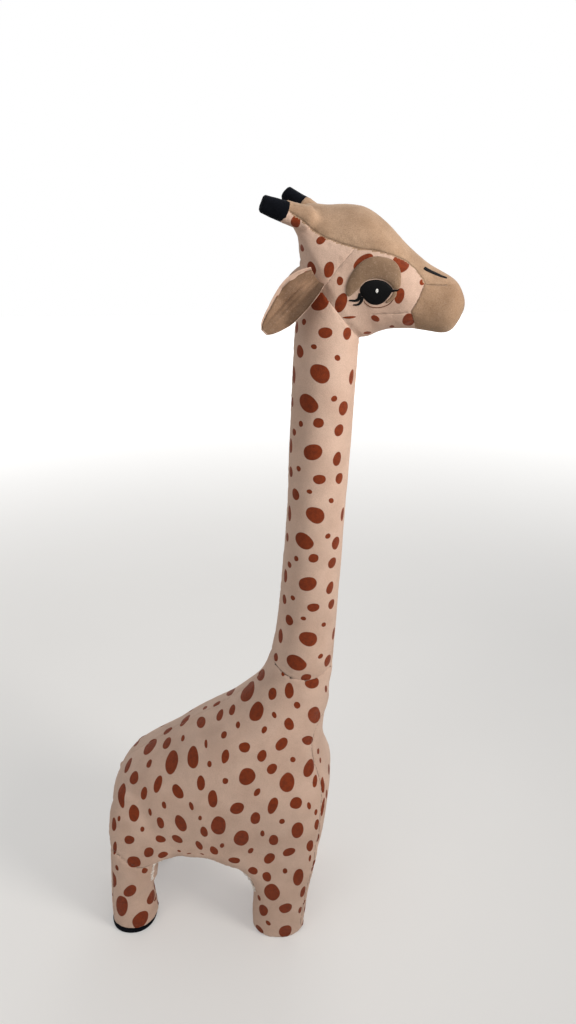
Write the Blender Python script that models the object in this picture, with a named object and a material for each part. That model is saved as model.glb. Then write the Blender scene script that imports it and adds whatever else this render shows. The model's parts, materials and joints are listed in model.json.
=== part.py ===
"""Standing plush giraffe, about 1.2 m tall, sewn from stuffed fabric shells.

Frame: the giraffe faces +X, its right side is -Y and the soles stand on Z = 0.
Lengths are metres. A table named share or shares holds fractions, and each says of what.
"""
import math

import bmesh
import bpy
from mathutils import Vector
from mathutils.bvhtree import BVHTree

# Sizes: cloth and seams
CLOTH = 0.002
GAP = 0.0003
SEAM_GAP = 0.0004
LINING_CLEARANCE = 0.001

# Sizes: feet and legs
LEG_HEIGHT = 0.169
FOOT_LENGTH = 0.078
FOOT_WIDTH = 0.076
FOOT_SPACING = 0.256
FOOT_TRACK = 0.160
REAR_FOOT_INSET = 0.040
SOLE_THICKNESS = 0.003
SOLE_INSET = 0.0015
BOARD_THICKNESS = 0.0025

# Sizes: torso
BODY_LENGTH = 0.385
BODY_WIDTH = 0.226
BODY_HEIGHT = 0.326

# Sizes: neck
NECK_HEIGHT = 0.522
NECK_LEAN = 0.042
NECK_BOW = 0.008
NECK_BASE_WIDTH = 0.101
NECK_TOP_WIDTH = 0.095
CORE_DIAMETER = 0.022
CORE_WALL = 0.002
CORE_CLEARANCE = 0.0006
CORE_FOOT_DEPTH = 0.150
CORE_HEAD_REACH = 0.070

# Sizes: head
HEAD_LENGTH = 0.240
HEAD_HEIGHT = 0.175
HEAD_WIDTH = 0.104

# Sizes: horns
STEM_DIAMETER = 0.027
STEM_LENGTH = 0.016
STEM_ROOT_DEPTH = 0.020
HORN_TIP_LENGTH = 0.032
HORN_TIP_END_DIAMETER = 0.023
HORN_EDGE = 0.003

# Sizes: ears
EAR_LENGTH = 0.098
EAR_WIDTH = 0.048
EAR_LAYER = 0.0025
EAR_CUP = 0.009
EAR_SEAT = 0.0021
EAR_LAYER_GAP = 0.0006

# Sizes: tail
TAIL_DIAMETER = 0.012
TAIL_LENGTH = 0.120
TUFT_LENGTH = 0.062
TUFT_DIAMETER = 0.022
TAIL_CLEARANCE = 0.001

# Sizes: sewn face
FACE_LIFT = 0.0008
EYE_WIDTH = 0.040
EYE_HEIGHT = 0.0295
EYE_THICKNESS = 0.0012
HIGHLIGHT_WIDTH = 0.004
HIGHLIGHT_THICKNESS = 0.0005
LID_WIDTH = 0.073
LID_RISE = 0.043
LID_THICKNESS = 0.0018
THREAD_WIDTH = 0.0022
THREAD_THICKNESS = 0.0008
LASH_LENGTH = 0.015

# Angles, degrees
RIGHT_HORN_RISE = 19.0
LEFT_HORN_RISE = 36.0
HORN_SPLAY = 12.0
EAR_DROP = 44.0
EAR_SPLAY = 24.0
NOSTRIL_ANGLE = 42.0

# Counts
TORSO_SIDES = 32
NECK_SIDES = 20
LEG_SIDES = 18
FOREHEAD_COLUMNS = 9
CHEEK_COLUMNS = 19
TUBE_SIDES = 12
EYE_SIDES = 20

# Torso rings: rear x, rear z, front x, front z, half width, squareness.
# x is a share of BODY_LENGTH from the rump, z of BODY_HEIGHT from the arch.
TORSO_RING_SHARES = (
    (0.013, 0.000, 0.951, 0.000, 0.965, 6.0),
    (0.017, 0.111, 0.969, 0.111, 0.991, 6.0),
    (0.034, 0.211, 0.982, 0.217, 1.000, 5.0),
    (0.062, 0.300, 0.990, 0.322, 0.996, 4.0),
    (0.103, 0.367, 0.995, 0.409, 0.973, 3.4),
    (0.160, 0.424, 0.995, 0.486, 0.947, 3.0),
    (0.235, 0.487, 0.990, 0.560, 0.903, 2.8),
    (0.312, 0.557, 0.979, 0.635, 0.841, 2.6),
    (0.405, 0.625, 0.971, 0.709, 0.761, 2.5),
    (0.499, 0.693, 0.974, 0.780, 0.673, 2.4),
    (0.582, 0.765, 0.984, 0.848, 0.593, 2.3),
    (0.655, 0.842, 0.997, 0.901, 0.522, 2.1),
    (0.706, 0.926, 1.000, 0.938, 0.478, 2.0),
    (0.738, 1.022, 1.000, 0.972, 0.447, 2.0),
)

# Leg rings: height, outer end, arch end, outer y, inner y, squareness. Ends are shares of
# FOOT_LENGTH from the foot's middle, y of FOOT_WIDTH outward from it.
REAR_LEG_RING_SHARES = (
    (0.00, -0.510, 0.490, 0.50, -0.50, 2.2),
    (0.15, -0.535, 0.500, 0.51, -0.50, 2.2),
    (0.45, -0.520, 0.480, 0.50, -0.49, 2.2),
    (0.72, -0.500, 0.470, 0.48, -0.50, 2.5),
    (0.84, -0.500, 0.570, 0.46, -0.60, 3.0),
    (0.93, -0.495, 0.710, 0.43, -0.76, 3.8),
    (1.00, -0.485, 1.060, 0.40, -0.95, 4.6),
)
FRONT_LEG_RING_SHARES = (
    (0.00, 0.540, -0.590, 0.50, -0.50, 2.2),
    (0.15, 0.580, -0.600, 0.51, -0.50, 2.2),
    (0.45, 0.660, -0.560, 0.50, -0.49, 2.3),
    (0.64, 0.720, -0.620, 0.48, -0.50, 2.7),
    (0.78, 0.780, -0.830, 0.46, -0.60, 3.4),
    (0.90, 0.835, -1.240, 0.43, -0.76, 4.2),
    (1.00, 0.880, -1.740, 0.40, -0.95, 5.0),
)

# Neck rings: place up the back line, place up the front line, share of NECK_BOW, width
NECK_RING_SHARES = (
    (0.00, 0.00, 0.00, 1.00),
    (0.06, 0.10, 0.55, 0.99),
    (0.14, 0.20, 0.88, 0.99),
    (0.27, 0.34, 1.00, 0.99),
    (0.42, 0.52, 1.00, 0.99),
    (0.58, 0.68, 0.56, 0.99),
    (0.72, 0.82, 0.22, 0.99),
    (0.84, 0.92, 0.00, 0.99),
    (0.93, 0.97, 0.15, 0.99),
    (1.00, 1.00, 0.00, 1.00),
)

# Head rings: top x, top z, bottom x, bottom z, half width, squareness, forehead seam angle.
# x is a share of HEAD_LENGTH, z of HEAD_HEIGHT. The last column is degrees from the top.
HEAD_RING_SHARES = (
    (0.050, 0.600, 0.392, 0.000, 0.913, 2.0, 3.0),
    (0.042, 0.757, 0.421, 0.006, 0.962, 2.0, 8.0),
    (0.006, 0.895, 0.450, 0.017, 0.981, 2.0, 34.0),
    (0.085, 0.988, 0.483, 0.040, 0.981, 2.1, 54.0),
    (0.215, 0.983, 0.517, 0.057, 0.990, 2.2, 66.0),
    (0.333, 0.983, 0.550, 0.069, 1.000, 2.2, 70.0),
    (0.425, 0.954, 0.588, 0.074, 0.990, 2.2, 68.0),
    (0.525, 0.863, 0.625, 0.074, 0.962, 2.2, 63.0),
    (0.650, 0.712, 0.658, 0.074, 0.894, 2.2, 58.0),
    (0.767, 0.583, 0.692, 0.074, 0.817, 2.2, 69.0),
    (0.842, 0.520, 0.775, 0.057, 0.779, 2.3, 60.0),
    (0.900, 0.474, 0.858, 0.040, 0.760, 2.3, 49.0),
    (0.950, 0.423, 0.925, 0.063, 0.673, 2.3, 30.0),
    (0.983, 0.349, 0.967, 0.137, 0.462, 2.2, 30.0),
)
NOSE_SHARES = (1.0, 0.243)
MUZZLE_SEAM_RING = 9
NOSE_SEAM_RING = 12
NOSTRIL_RINGS = (8.8, 10.6)

# Places on the head, x a share of HEAD_LENGTH and z of HEAD_HEIGHT
EYE_PLACE_SHARES = (0.468, 0.378)
EAR_BACK_ROOT_SHARES = (0.120, 0.512)
EAR_FRONT_ROOT_SHARES = (0.200, 0.392)
RIGHT_HORN_PLACE_SHARES = (0.055, 0.905)
LEFT_HORN_PLACE_SHARES = (0.128, 0.912)
HORN_SIDE_SHARE = 0.62
TAIL_PLACE_SHARE = 0.285

# Ear outline: place along the ear, back edge and front edge in shares of EAR_WIDTH
EAR_EDGE_SHARES = (
    (0.00, 0.27, 0.27),
    (0.18, 0.38, 0.40),
    (0.40, 0.47, 0.50),
    (0.62, 0.45, 0.52),
    (0.82, 0.33, 0.42),
    (0.94, 0.18, 0.23),
    (1.00, 0.05, 0.06),
)
EAR_COLUMN_SHARES = (-1.0, -0.6, -0.2, 0.2, 0.6, 1.0)
LINING_INSET_SHARE = 0.92

# Tail rings: place down the tail, thickness. The tail hangs down the line of the rump.
TAIL_RING_SHARES = (
    (0.08, 1.00),
    (0.20, 0.98),
    (0.35, 0.95),
    (0.50, 0.92),
    (0.75, 0.86),
    (1.00, 0.82),
)
TUFT_RING_SHARES = (
    (0.00, 0.34),
    (0.18, 0.74),
    (0.45, 1.00),
    (0.75, 0.80),
    (1.00, 0.25),
)

# Lashes: name, start angle round the eye, end angle, reach as a share of LASH_LENGTH
LASH_SHARES = (
    ("rear_lash", 192.0, 196.0, 1.00),
    ("low_lash", 210.0, 207.0, 0.80),
    ("front_lash", -8.0, -5.5, 0.75),
)

# Colours are linear RGB. Each material is a Principled BSDF.
PRINTED_CLOTH = (0.72, 0.50, 0.40)
TAN_CLOTH = (0.45, 0.31, 0.20)
DARK_CLOTH = (0.012, 0.013, 0.020)
STUFFING = (0.85, 0.85, 0.82)
BOARD = (0.35, 0.25, 0.16)
TUBE = (0.10, 0.10, 0.10)
THREAD_BLACK = (0.008, 0.008, 0.009)
THREAD_WHITE = (0.90, 0.89, 0.86)
LID_CLOTH = (0.32, 0.22, 0.15)


def clear_scene():
    for found in list(bpy.data.objects):
        bpy.data.objects.remove(found, do_unlink=True)


def material(name, colour, roughness):
    found = bpy.data.materials.new(name)
    found.use_nodes = True
    shader = found.node_tree.nodes["Principled BSDF"]
    shader.inputs["Base Color"].default_value = (*colour, 1.0)
    shader.inputs["Roughness"].default_value = roughness
    shader.inputs["Metallic"].default_value = 0.0
    found.diffuse_color = (*colour, 1.0)
    return found


def point(x, z, y=0.0):
    return Vector((x, y, z))


def superellipse(angle, squareness):
    """Unit offsets along and across a ring, for an angle from its long axis."""
    along, across = math.cos(angle), math.sin(angle)
    power = 2.0 / squareness
    return (
        math.copysign(abs(along) ** power, along),
        math.copysign(abs(across) ** power, across),
    )


def ring_point(ring, angle, inset=0.0):
    """A point of the ring from start to end, drawn in by inset. Rings lie square to XZ."""
    start, end, middle_y, half_width, squareness = ring
    middle = (start + end) / 2
    half = start - middle
    along, across = superellipse(angle, squareness)
    reach = half.length - inset
    place = middle + half.normalized() * reach * along
    place.y = middle_y + (half_width - inset) * across
    return place


def ring_points(ring, sides, inset=0.0):
    return [ring_point(ring, 2 * math.pi * side / sides, inset) for side in range(sides)]


def between(low, high, share):
    """The ring at a share of the way from one ring to the next."""
    return tuple(a + (b - a) * share for a, b in zip(low, high))


def split(corners):
    """A four-cornered face as two triangles, always on the same diagonal."""
    a, b, c, d = corners
    return [(a, b, c), (a, c, d)]


def add_object(name, points, faces, finish, parent=None, smooth=True):
    """A named object from points and faces, with its faces turned outward."""
    mesh = bpy.data.meshes.new(name)
    shift = parent.location if parent else Vector()
    mesh.from_pydata([place - shift for place in points], [], faces)
    work = bmesh.new()
    work.from_mesh(mesh)
    bmesh.ops.recalc_face_normals(work, faces=work.faces)
    work.to_mesh(mesh)
    work.free()
    if smooth:
        mesh.shade_smooth()
        mesh.set_sharp_from_angle(angle=math.radians(40))
    made = bpy.data.objects.new(name, mesh)
    bpy.context.scene.collection.objects.link(made)
    if finish:
        mesh.materials.append(finish)
    made.parent = parent or GROUND
    return made


def loft(rows, cap_first=True, cap_last=True):
    """Points and triangles of a skin over rows of like length, each row a closed ring."""
    sides = len(rows[0])
    points = [place for row in rows for place in row]
    faces = []
    for row in range(len(rows) - 1):
        for side in range(sides):
            following = (side + 1) % sides
            low, high = row * sides, (row + 1) * sides
            faces += split((low + side, low + following, high + following, high + side))
    if cap_first:
        faces.append(tuple(range(sides)))
    if cap_last:
        last = (len(rows) - 1) * sides
        faces.append(tuple(range(last, last + sides)))
    return points, faces


def sleeve(outer, inner, closed_floor):
    """A cloth tube: an outer and an inner skin, joined at the open ends."""
    sides = len(outer[0])
    points, faces = loft(outer, cap_first=closed_floor, cap_last=False)
    inner_points, inner_faces = loft(inner, cap_first=closed_floor, cap_last=False)
    start = len(points)
    faces += [tuple(start + corner for corner in face) for face in inner_faces]
    ends = [(len(outer) - 1) * sides]
    if not closed_floor:
        ends.append(0)
    for end in ends:
        inner_end = start + (0 if end == 0 else (len(inner) - 1) * sides)
        for side in range(sides):
            following = (side + 1) % sides
            faces += split((end + side, end + following, inner_end + following, inner_end + side))
    return points + inner_points, faces


def sheet_solid(faces, low, high):
    """A patch of cloth as a solid: two skins of the same faces, walled along the free edges."""
    count = len(low)
    solid = [tuple(face) for face in faces]
    solid += [tuple(count + corner for corner in face) for face in faces]
    edges = {}
    for face in faces:
        for start, end in zip(face, face[1:] + face[:1]):
            edges.setdefault(frozenset((start, end)), []).append((start, end))
    for found in edges.values():
        if len(found) == 1:
            start, end = found[0]
            solid += split((start, end, count + end, count + start))
    return list(low) + list(high), solid


def grid_faces(rows, columns, wrap=False):
    """Triangles over a grid of points stored row by row."""
    faces = []
    for row in range(rows - 1):
        for column in range(columns if wrap else columns - 1):
            following = (column + 1) % columns
            low, high = row * columns, (row + 1) * columns
            faces += split((low + column, low + following, high + following, high + column))
    return faces


def torso_ring(shares):
    rear_x, rear_z, front_x, front_z, width, squareness = shares
    return (
        point(rear_x * BODY_LENGTH, LEG_HEIGHT + rear_z * BODY_HEIGHT),
        point(front_x * BODY_LENGTH, LEG_HEIGHT + front_z * BODY_HEIGHT),
        0.0,
        width * BODY_WIDTH / 2,
        squareness,
    )


def torso_rows(inset, sides=TORSO_SIDES):
    return [ring_points(ring, sides, inset) for ring in TORSO_RINGS]


def lifted(row, rise):
    return [place + Vector((0, 0, rise)) for place in row]


def make_torso():
    """Body shell, open at the neck, and the stuffing that fills it."""
    outer = torso_rows(0.0)
    inner = torso_rows(CLOTH)
    inner[0] = lifted(inner[0], CLOTH)
    points, faces = sleeve(outer, inner, closed_floor=True)
    add_object("torso_cover", points, faces, CLOTH_FINISH)
    fill = torso_rows(CLOTH + LINING_CLEARANCE)
    fill[0] = lifted(fill[0], CLOTH + GAP)
    points, faces = loft(fill)
    filling = add_object("torso_filling", points, faces, STUFFING_FINISH)
    cut(filling, CORE_BORE)


def leg_ring(shares, foot_x, side):
    height, outer_end, arch_end, outer_y, inner_y, squareness = shares
    floor = SOLE_THICKNESS + GAP
    z = floor + height * (LEG_HEIGHT - GAP - floor)
    wide = (outer_y - inner_y) / 2 * FOOT_WIDTH
    middle_y = side * (FOOT_TRACK / 2 + (outer_y + inner_y) / 2 * FOOT_WIDTH)
    return (
        point(foot_x + outer_end * FOOT_LENGTH, z),
        point(foot_x + arch_end * FOOT_LENGTH, z),
        middle_y,
        wide,
        squareness,
    )


def make_leg(name, foot_x, side, table):
    """One leg: its cloth tube, its stuffing, the board that keeps the foot flat and the sole."""
    rings = [leg_ring(shares, foot_x, side) for shares in table]
    outer = [ring_points(ring, LEG_SIDES) for ring in rings]
    inner = [ring_points(ring, LEG_SIDES, CLOTH) for ring in rings]
    points, faces = sleeve(outer, inner, closed_floor=False)
    add_object(name + "_leg_cover", points, faces, CLOTH_FINISH)
    foot = rings[0]
    board_low = ring_points(foot, LEG_SIDES, CLOTH + LINING_CLEARANCE)
    board_high = lifted(board_low, BOARD_THICKNESS)
    points, faces = loft([board_low, board_high])
    add_object(name + "_foot_board", points, faces, BOARD_FINISH, smooth=False)
    fill = [ring_points(ring, LEG_SIDES, CLOTH + LINING_CLEARANCE) for ring in rings]
    fill[0] = lifted(fill[0], BOARD_THICKNESS + GAP)
    points, faces = loft(fill)
    add_object(name + "_leg_filling", points, faces, STUFFING_FINISH)
    sole_high = lifted(ring_points(foot, LEG_SIDES, SOLE_INSET), -GAP)
    sole_low = lifted(sole_high, -SOLE_THICKNESS)
    points, faces = loft([sole_low, sole_high])
    add_object(name + "_sole", points, faces, DARK_FINISH, smooth=False)


def neck_ring(shares):
    """A neck ring between its seam with the body and the slanted seam with the head."""
    back, front, bow, width = shares
    base_rear, base_front = TORSO_RINGS[-1][0], TORSO_RINGS[-1][1]
    rise = Vector((0, 0, SEAM_GAP))
    rear = (base_rear + rise).lerp(HEAD_SEAM[0], back) + Vector((bow * NECK_BOW, 0, 0))
    ahead = (base_front + rise).lerp(HEAD_SEAM[1], front)
    wide = NECK_BASE_WIDTH + (NECK_TOP_WIDTH - NECK_BASE_WIDTH) * back
    return (rear, ahead, 0.0, width * wide / 2, 2.0)


def make_neck():
    """Neck sleeve, its stuffing and the plastic tube that keeps it upright."""
    rings = [neck_ring(shares) for shares in NECK_RING_SHARES]
    outer = [ring_points(ring, NECK_SIDES) for ring in rings]
    inner = [ring_points(ring, NECK_SIDES, CLOTH) for ring in rings]
    points, faces = sleeve(outer, inner, closed_floor=False)
    add_object("neck_cover", points, faces, CLOTH_FINISH)
    fill = [ring_points(ring, NECK_SIDES, CLOTH + LINING_CLEARANCE) for ring in rings]
    points, faces = loft(fill)
    filling = add_object("neck_filling", points, faces, STUFFING_FINISH)
    cut(filling, CORE_BORE)
    outside = tube_rows(CORE_DIAMETER / 2, CORE_LINE[0], CORE_LINE[1])
    inside = tube_rows(CORE_DIAMETER / 2 - CORE_WALL, CORE_LINE[0], CORE_LINE[1])
    points, faces = sleeve(outside, inside, closed_floor=False)
    add_object("neck_core", points, faces, TUBE_FINISH)


def tube_rows(radius, start, end, sides=TUBE_SIDES):
    """Two rings of a straight tube whose axis lies in the XZ plane."""
    across = (end - start).normalized().cross(Vector((0, 1, 0)))
    rows = []
    for place in (start, end):
        rows.append([
            place
            + across * radius * math.cos(2 * math.pi * side / sides)
            + Vector((0, radius * math.sin(2 * math.pi * side / sides), 0))
            for side in range(sides)
        ])
    return rows


def cutter(name, points, faces):
    made = add_object(name, points, faces, None, smooth=False)
    made.hide_render = True
    made.display_type = "WIRE"
    return made


def cut(target, tool):
    """Takes the tool's shape out of the target."""
    boolean = target.modifiers.new("cut_" + tool.name, "BOOLEAN")
    boolean.operation = "DIFFERENCE"
    boolean.solver = "EXACT"
    boolean.object = tool


def core_bore():
    """The straight hole in the stuffing that takes the neck tube."""
    direction = (CORE_LINE[1] - CORE_LINE[0]).normalized()
    spare = direction * CORE_CLEARANCE
    rows = tube_rows(CORE_DIAMETER / 2 + CORE_CLEARANCE, CORE_LINE[0] - spare, CORE_LINE[1] + spare)
    points, faces = loft(rows)
    return cutter("neck_core_bore", points, faces)


def head_place(x_share, z_share):
    return HEAD_ORIGIN + point(x_share * HEAD_LENGTH, z_share * HEAD_HEIGHT)


def head_ring(shares):
    top_x, top_z, low_x, low_z, width, squareness = shares[:6]
    top, low = head_place(top_x, top_z), head_place(low_x, low_z)
    return (top, low, 0.0, width * HEAD_WIDTH / 2, squareness)


def head_ring_at(row):
    """The head's ring at a row number, which may lie between two rings."""
    low = min(int(row), len(HEAD_RINGS) - 2)
    return between(HEAD_RINGS[low], HEAD_RINGS[low + 1], row - low)


def seam_angle(row):
    """Angle from the top at which the forehead panel meets the cheek, in radians."""
    low = min(int(row), len(HEAD_RING_SHARES) - 2)
    first, second = HEAD_RING_SHARES[low][6], HEAD_RING_SHARES[low + 1][6]
    return math.radians(first + (second - first) * (row - low))


def seam_half_gap(row):
    """The angle that leaves half a gap beside the forehead seam."""
    return GAP / head_ring_at(row)[3]


def forehead_angles(row):
    half = seam_angle(row) - seam_half_gap(row)
    count = FOREHEAD_COLUMNS - 1
    return [half * (2 * column / count - 1) for column in range(FOREHEAD_COLUMNS)]


def cheek_angles(row):
    start = seam_angle(row) + seam_half_gap(row)
    sweep = 2 * math.pi - 2 * start
    count = CHEEK_COLUMNS - 1
    return [start + sweep * column / count for column in range(CHEEK_COLUMNS)]


def head_rows(rows, angles, inset):
    """Points of the head's skin, row by row."""
    return [
        ring_point(head_ring_at(row), angle, inset)
        for row in rows
        for angle in angles(row)
    ]


def full_angles(row):
    """The angles of both panels, so that the stuffing follows them."""
    return forehead_angles(row) + cheek_angles(row)


def head_skin(inset):
    """The whole head as one closed skin, drawn in by inset."""
    rows = range(len(HEAD_RINGS))
    count = FOREHEAD_COLUMNS + CHEEK_COLUMNS
    flat = head_rows(rows, full_angles, inset)
    grid = [flat[row * count:(row + 1) * count] for row in rows]
    points, faces = loft(grid, cap_last=False)
    tip = len(points)
    points.append(head_place(*NOSE_SHARES) - Vector((inset, 0, 0)))
    last = (len(HEAD_RINGS) - 1) * count
    faces += [(last + side, last + (side + 1) % count, tip) for side in range(count)]
    return points, faces


def head_panel(name, rows, angles, columns, finish):
    low = head_rows(rows, angles, CLOTH)
    high = head_rows(rows, angles, 0.0)
    points, faces = sheet_solid(grid_faces(len(rows), columns), low, high)
    add_object(name, points, faces, finish)


def make_muzzle():
    """The muzzle's cloth wraps its sides and chin and closes over the nose."""
    step = GAP / (head_ring_at(MUZZLE_SEAM_RING + 1)[1].x - head_ring_at(MUZZLE_SEAM_RING)[1].x)
    nose_step = GAP / (head_ring_at(NOSE_SEAM_RING + 1)[0].x - head_ring_at(NOSE_SEAM_RING)[0].x)
    sides = [MUZZLE_SEAM_RING + step] + list(range(MUZZLE_SEAM_RING + 1, NOSE_SEAM_RING))
    nose = [NOSE_SEAM_RING + 2 * nose_step, NOSE_SEAM_RING + 1]
    count = FOREHEAD_COLUMNS + CHEEK_COLUMNS
    skins = []
    for inset in (CLOTH, 0.0):
        skin = head_rows(sides, cheek_angles, inset)
        skin += head_rows(nose, full_angles, inset)
        skin.append(head_place(*NOSE_SHARES) - Vector((inset, 0, 0)))
        skins.append(skin)
    faces = grid_faces(len(sides), CHEEK_COLUMNS)
    side_end = (len(sides) - 1) * CHEEK_COLUMNS
    nose_start = len(sides) * CHEEK_COLUMNS
    for column in range(CHEEK_COLUMNS - 1):
        low, high = side_end + column, nose_start + FOREHEAD_COLUMNS + column
        faces += split((low, low + 1, high + 1, high))
    for column in range(count):
        following = (column + 1) % count
        low, high = nose_start, nose_start + count
        faces += split((low + column, low + following, high + following, high + column))
        faces.append((high + column, high + following, high + count))
    points, faces = sheet_solid(faces, skins[0], skins[1])
    add_object("muzzle_cover", points, faces, TAN_FINISH)


def make_head():
    """Cheeks and nape of printed cloth, a tan forehead panel and muzzle, and stuffing."""
    head_panel("head_cover", range(MUZZLE_SEAM_RING + 1), cheek_angles, CHEEK_COLUMNS, CLOTH_FINISH)
    rows = range(NOSE_SEAM_RING + 1)
    head_panel("forehead_panel", rows, forehead_angles, FOREHEAD_COLUMNS, TAN_FINISH)
    make_muzzle()
    points, faces = head_skin(CLOTH + LINING_CLEARANCE)
    filling = add_object("head_filling", points, faces, STUFFING_FINISH)
    cut(filling, CORE_BORE)


def circle_rows(start, direction, profile, sides=TUBE_SIDES):
    """Rings round an axis, one for each place and radius of the profile."""
    first = direction.orthogonal().normalized()
    second = direction.cross(first)
    rows = []
    for place, radius in profile:
        middle = start + direction * place
        rows.append([
            middle
            + first * radius * math.cos(2 * math.pi * side / sides)
            + second * radius * math.sin(2 * math.pi * side / sides)
            for side in range(sides)
        ])
    return rows


def make_horn(name, side, place_shares, rise):
    """One horn: a stuffed stem on the crown and its dark felt tip."""
    base = head_place(*place_shares)
    base.y = side * HORN_SIDE_SHARE * HEAD_WIDTH / 2
    rise, splay = math.radians(rise), math.radians(HORN_SPLAY)
    direction = Vector((-math.cos(rise) * math.cos(splay), side * math.sin(splay), math.sin(rise)))
    direction.normalize()
    radius = STEM_DIAMETER / 2
    rows = circle_rows(base, direction, ((-STEM_ROOT_DEPTH, radius), (STEM_LENGTH, radius)))
    points, faces = loft(rows)
    stem = add_object(name + "_horn_stem", points, faces, CLOTH_FINISH)
    cut(stem, HEAD_SKIN)
    end = HORN_TIP_END_DIAMETER / 2
    start = STEM_LENGTH + GAP
    length = start + HORN_TIP_LENGTH
    profile = (
        (start, radius - HORN_EDGE / 3),
        (start + HORN_EDGE / 3, radius),
        (length - HORN_EDGE, end),
        (length - HORN_EDGE / 3, end - HORN_EDGE / 3),
        (length, end - HORN_EDGE),
    )
    points, faces = loft(circle_rows(base, direction, profile))
    add_object(name + "_horn_tip", points, faces, DARK_FINISH)


def on_head(x, z, side):
    """The place on the head's side at x and z, and the way out of it."""
    start = Vector((x, side * HEAD_WIDTH, z))
    place, normal, _, _ = HEAD_TREE.ray_cast(start, Vector((0, -side, 0)))
    if normal.y * side < 0:
        normal = -normal
    return place, normal


def ear_frame(side):
    """Middle of the hinge line, then the ways along the ear, along the hinge and out of the ear."""
    back = head_place(*EAR_BACK_ROOT_SHARES)
    front = head_place(*EAR_FRONT_ROOT_SHARES)
    roots = []
    for root in (back, front):
        place, normal = on_head(root.x, root.z, side)
        roots.append(place + normal * EAR_SEAT)
    across = (roots[1] - roots[0]).normalized()
    drop, splay = math.radians(EAR_DROP), math.radians(EAR_SPLAY)
    along = Vector((
        -math.cos(drop) * math.cos(splay),
        side * math.sin(splay),
        -math.sin(drop) * math.cos(splay),
    ))
    out = along.cross(across).normalized()
    if out.y * side < 0:
        out = -out
    return (roots[0] + roots[1]) / 2, along, across, out


def ear_layer(side, lift, width_share):
    """One cloth layer of an ear, cupped outward at its edges. Its root follows the hinge line."""
    root, along, across, out = ear_frame(side)
    square = (across - along * across.dot(along)).normalized()
    low, high = [], []
    for place, back, front in EAR_EDGE_SHARES:
        level = min(1.0, place / EAR_EDGE_SHARES[1][0])
        sideways = (across * (1.0 - level) + square * level).normalized()
        fold = math.sin(math.pi * min(1.0, place + 0.25))
        for column in EAR_COLUMN_SHARES:
            edge = column * width_share
            reach = edge * (front if column > 0 else back) * EAR_WIDTH
            cup = EAR_CUP * edge * edge * fold
            spot = root + along * EAR_LENGTH * place + sideways * reach + out * cup
            low.append(spot + out * lift)
            high.append(spot + out * (lift + EAR_LAYER))
    faces = grid_faces(len(EAR_EDGE_SHARES), len(EAR_COLUMN_SHARES))
    return sheet_solid(faces, low, high)


def make_ear(name, side):
    """An ear of two layers on a hinge line: printed cloth behind and a tan lining."""
    root = ear_frame(side)[0]
    hinge = bpy.data.objects.new(name + "_ear_hinge", None)
    bpy.context.scene.collection.objects.link(hinge)
    hinge.location = root
    hinge.parent = GROUND
    points, faces = ear_layer(side, 0.0, 1.0)
    add_object(name + "_ear_back", points, faces, CLOTH_FINISH, parent=hinge)
    points, faces = ear_layer(side, EAR_LAYER + EAR_LAYER_GAP, LINING_INSET_SHARE)
    add_object(name + "_ear_lining", points, faces, TAN_FINISH, parent=hinge)


def rump_at(z):
    """The rump's place on the middle line at a height, held above the body's flat underside."""
    height = max(z, LEG_HEIGHT + CLOTH)
    start = Vector((-BODY_LENGTH, 0, height))
    place, _, _, _ = TORSO_TREE.ray_cast(start, Vector((1, 0, 0)))
    return place.x


def make_tail():
    """A stuffed tail that hangs from the rump, and its dark tuft."""
    radius = TAIL_DIAMETER / 2
    root_z = LEG_HEIGHT + TAIL_PLACE_SHARE * BODY_HEIGHT
    root = point(rump_at(root_z) - radius - 2 * GAP, root_z)
    hinge = bpy.data.objects.new("tail_hinge", None)
    bpy.context.scene.collection.objects.link(hinge)
    hinge.location = root
    hinge.parent = GROUND
    rows = []
    for turn in (70.0, 45.0, 20.0):
        lift, reach = math.sin(math.radians(turn)), math.cos(math.radians(turn))
        rows.append(flat_circle(root + Vector((0, 0, lift * radius)), reach * radius))
    rear = root.x
    for down, thick in TAIL_RING_SHARES:
        z = root.z - down * TAIL_LENGTH
        rear = min(rear, rump_at(z) - thick * radius - TAIL_CLEARANCE)
        rows.append(flat_circle(point(rear, z), thick * radius))
    points, faces = loft(rows)
    add_object("tail", points, faces, CLOTH_FINISH, parent=hinge)
    end = point(rear, root.z - TAIL_LENGTH - GAP)
    rows = []
    for down, thick in TUFT_RING_SHARES:
        middle = end - Vector((0, 0, down * TUFT_LENGTH))
        rows.append(flat_circle(middle, thick * TUFT_DIAMETER / 2))
    points, faces = loft(rows)
    add_object("tail_tuft", points, faces, DARK_FINISH, parent=hinge)


def flat_circle(middle, radius, sides=TUBE_SIDES):
    return [
        middle
        + Vector((
            radius * math.cos(2 * math.pi * side / sides),
            radius * math.sin(2 * math.pi * side / sides),
            0,
        ))
        for side in range(sides)
    ]


def eye_point(angle, grow=0.0):
    """A place round the eye, x and z, at a distance outside its edge."""
    centre = head_place(*EYE_PLACE_SHARES)
    return (
        centre.x + (EYE_WIDTH / 2 + grow) * math.cos(angle),
        centre.z + (EYE_HEIGHT / 2 + grow) * math.sin(angle),
    )


def patch_on_head(name, faces, places, side, lift, thickness, finish):
    """A thin patch that lies on the head, lifted clear of it."""
    low, high = [], []
    for x, z in places:
        place, normal = on_head(x, z, side)
        low.append(place + normal * lift)
        high.append(place + normal * (lift + thickness))
    points, solid = sheet_solid(faces, low, high)
    return add_object(name, points, solid, finish)


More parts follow.
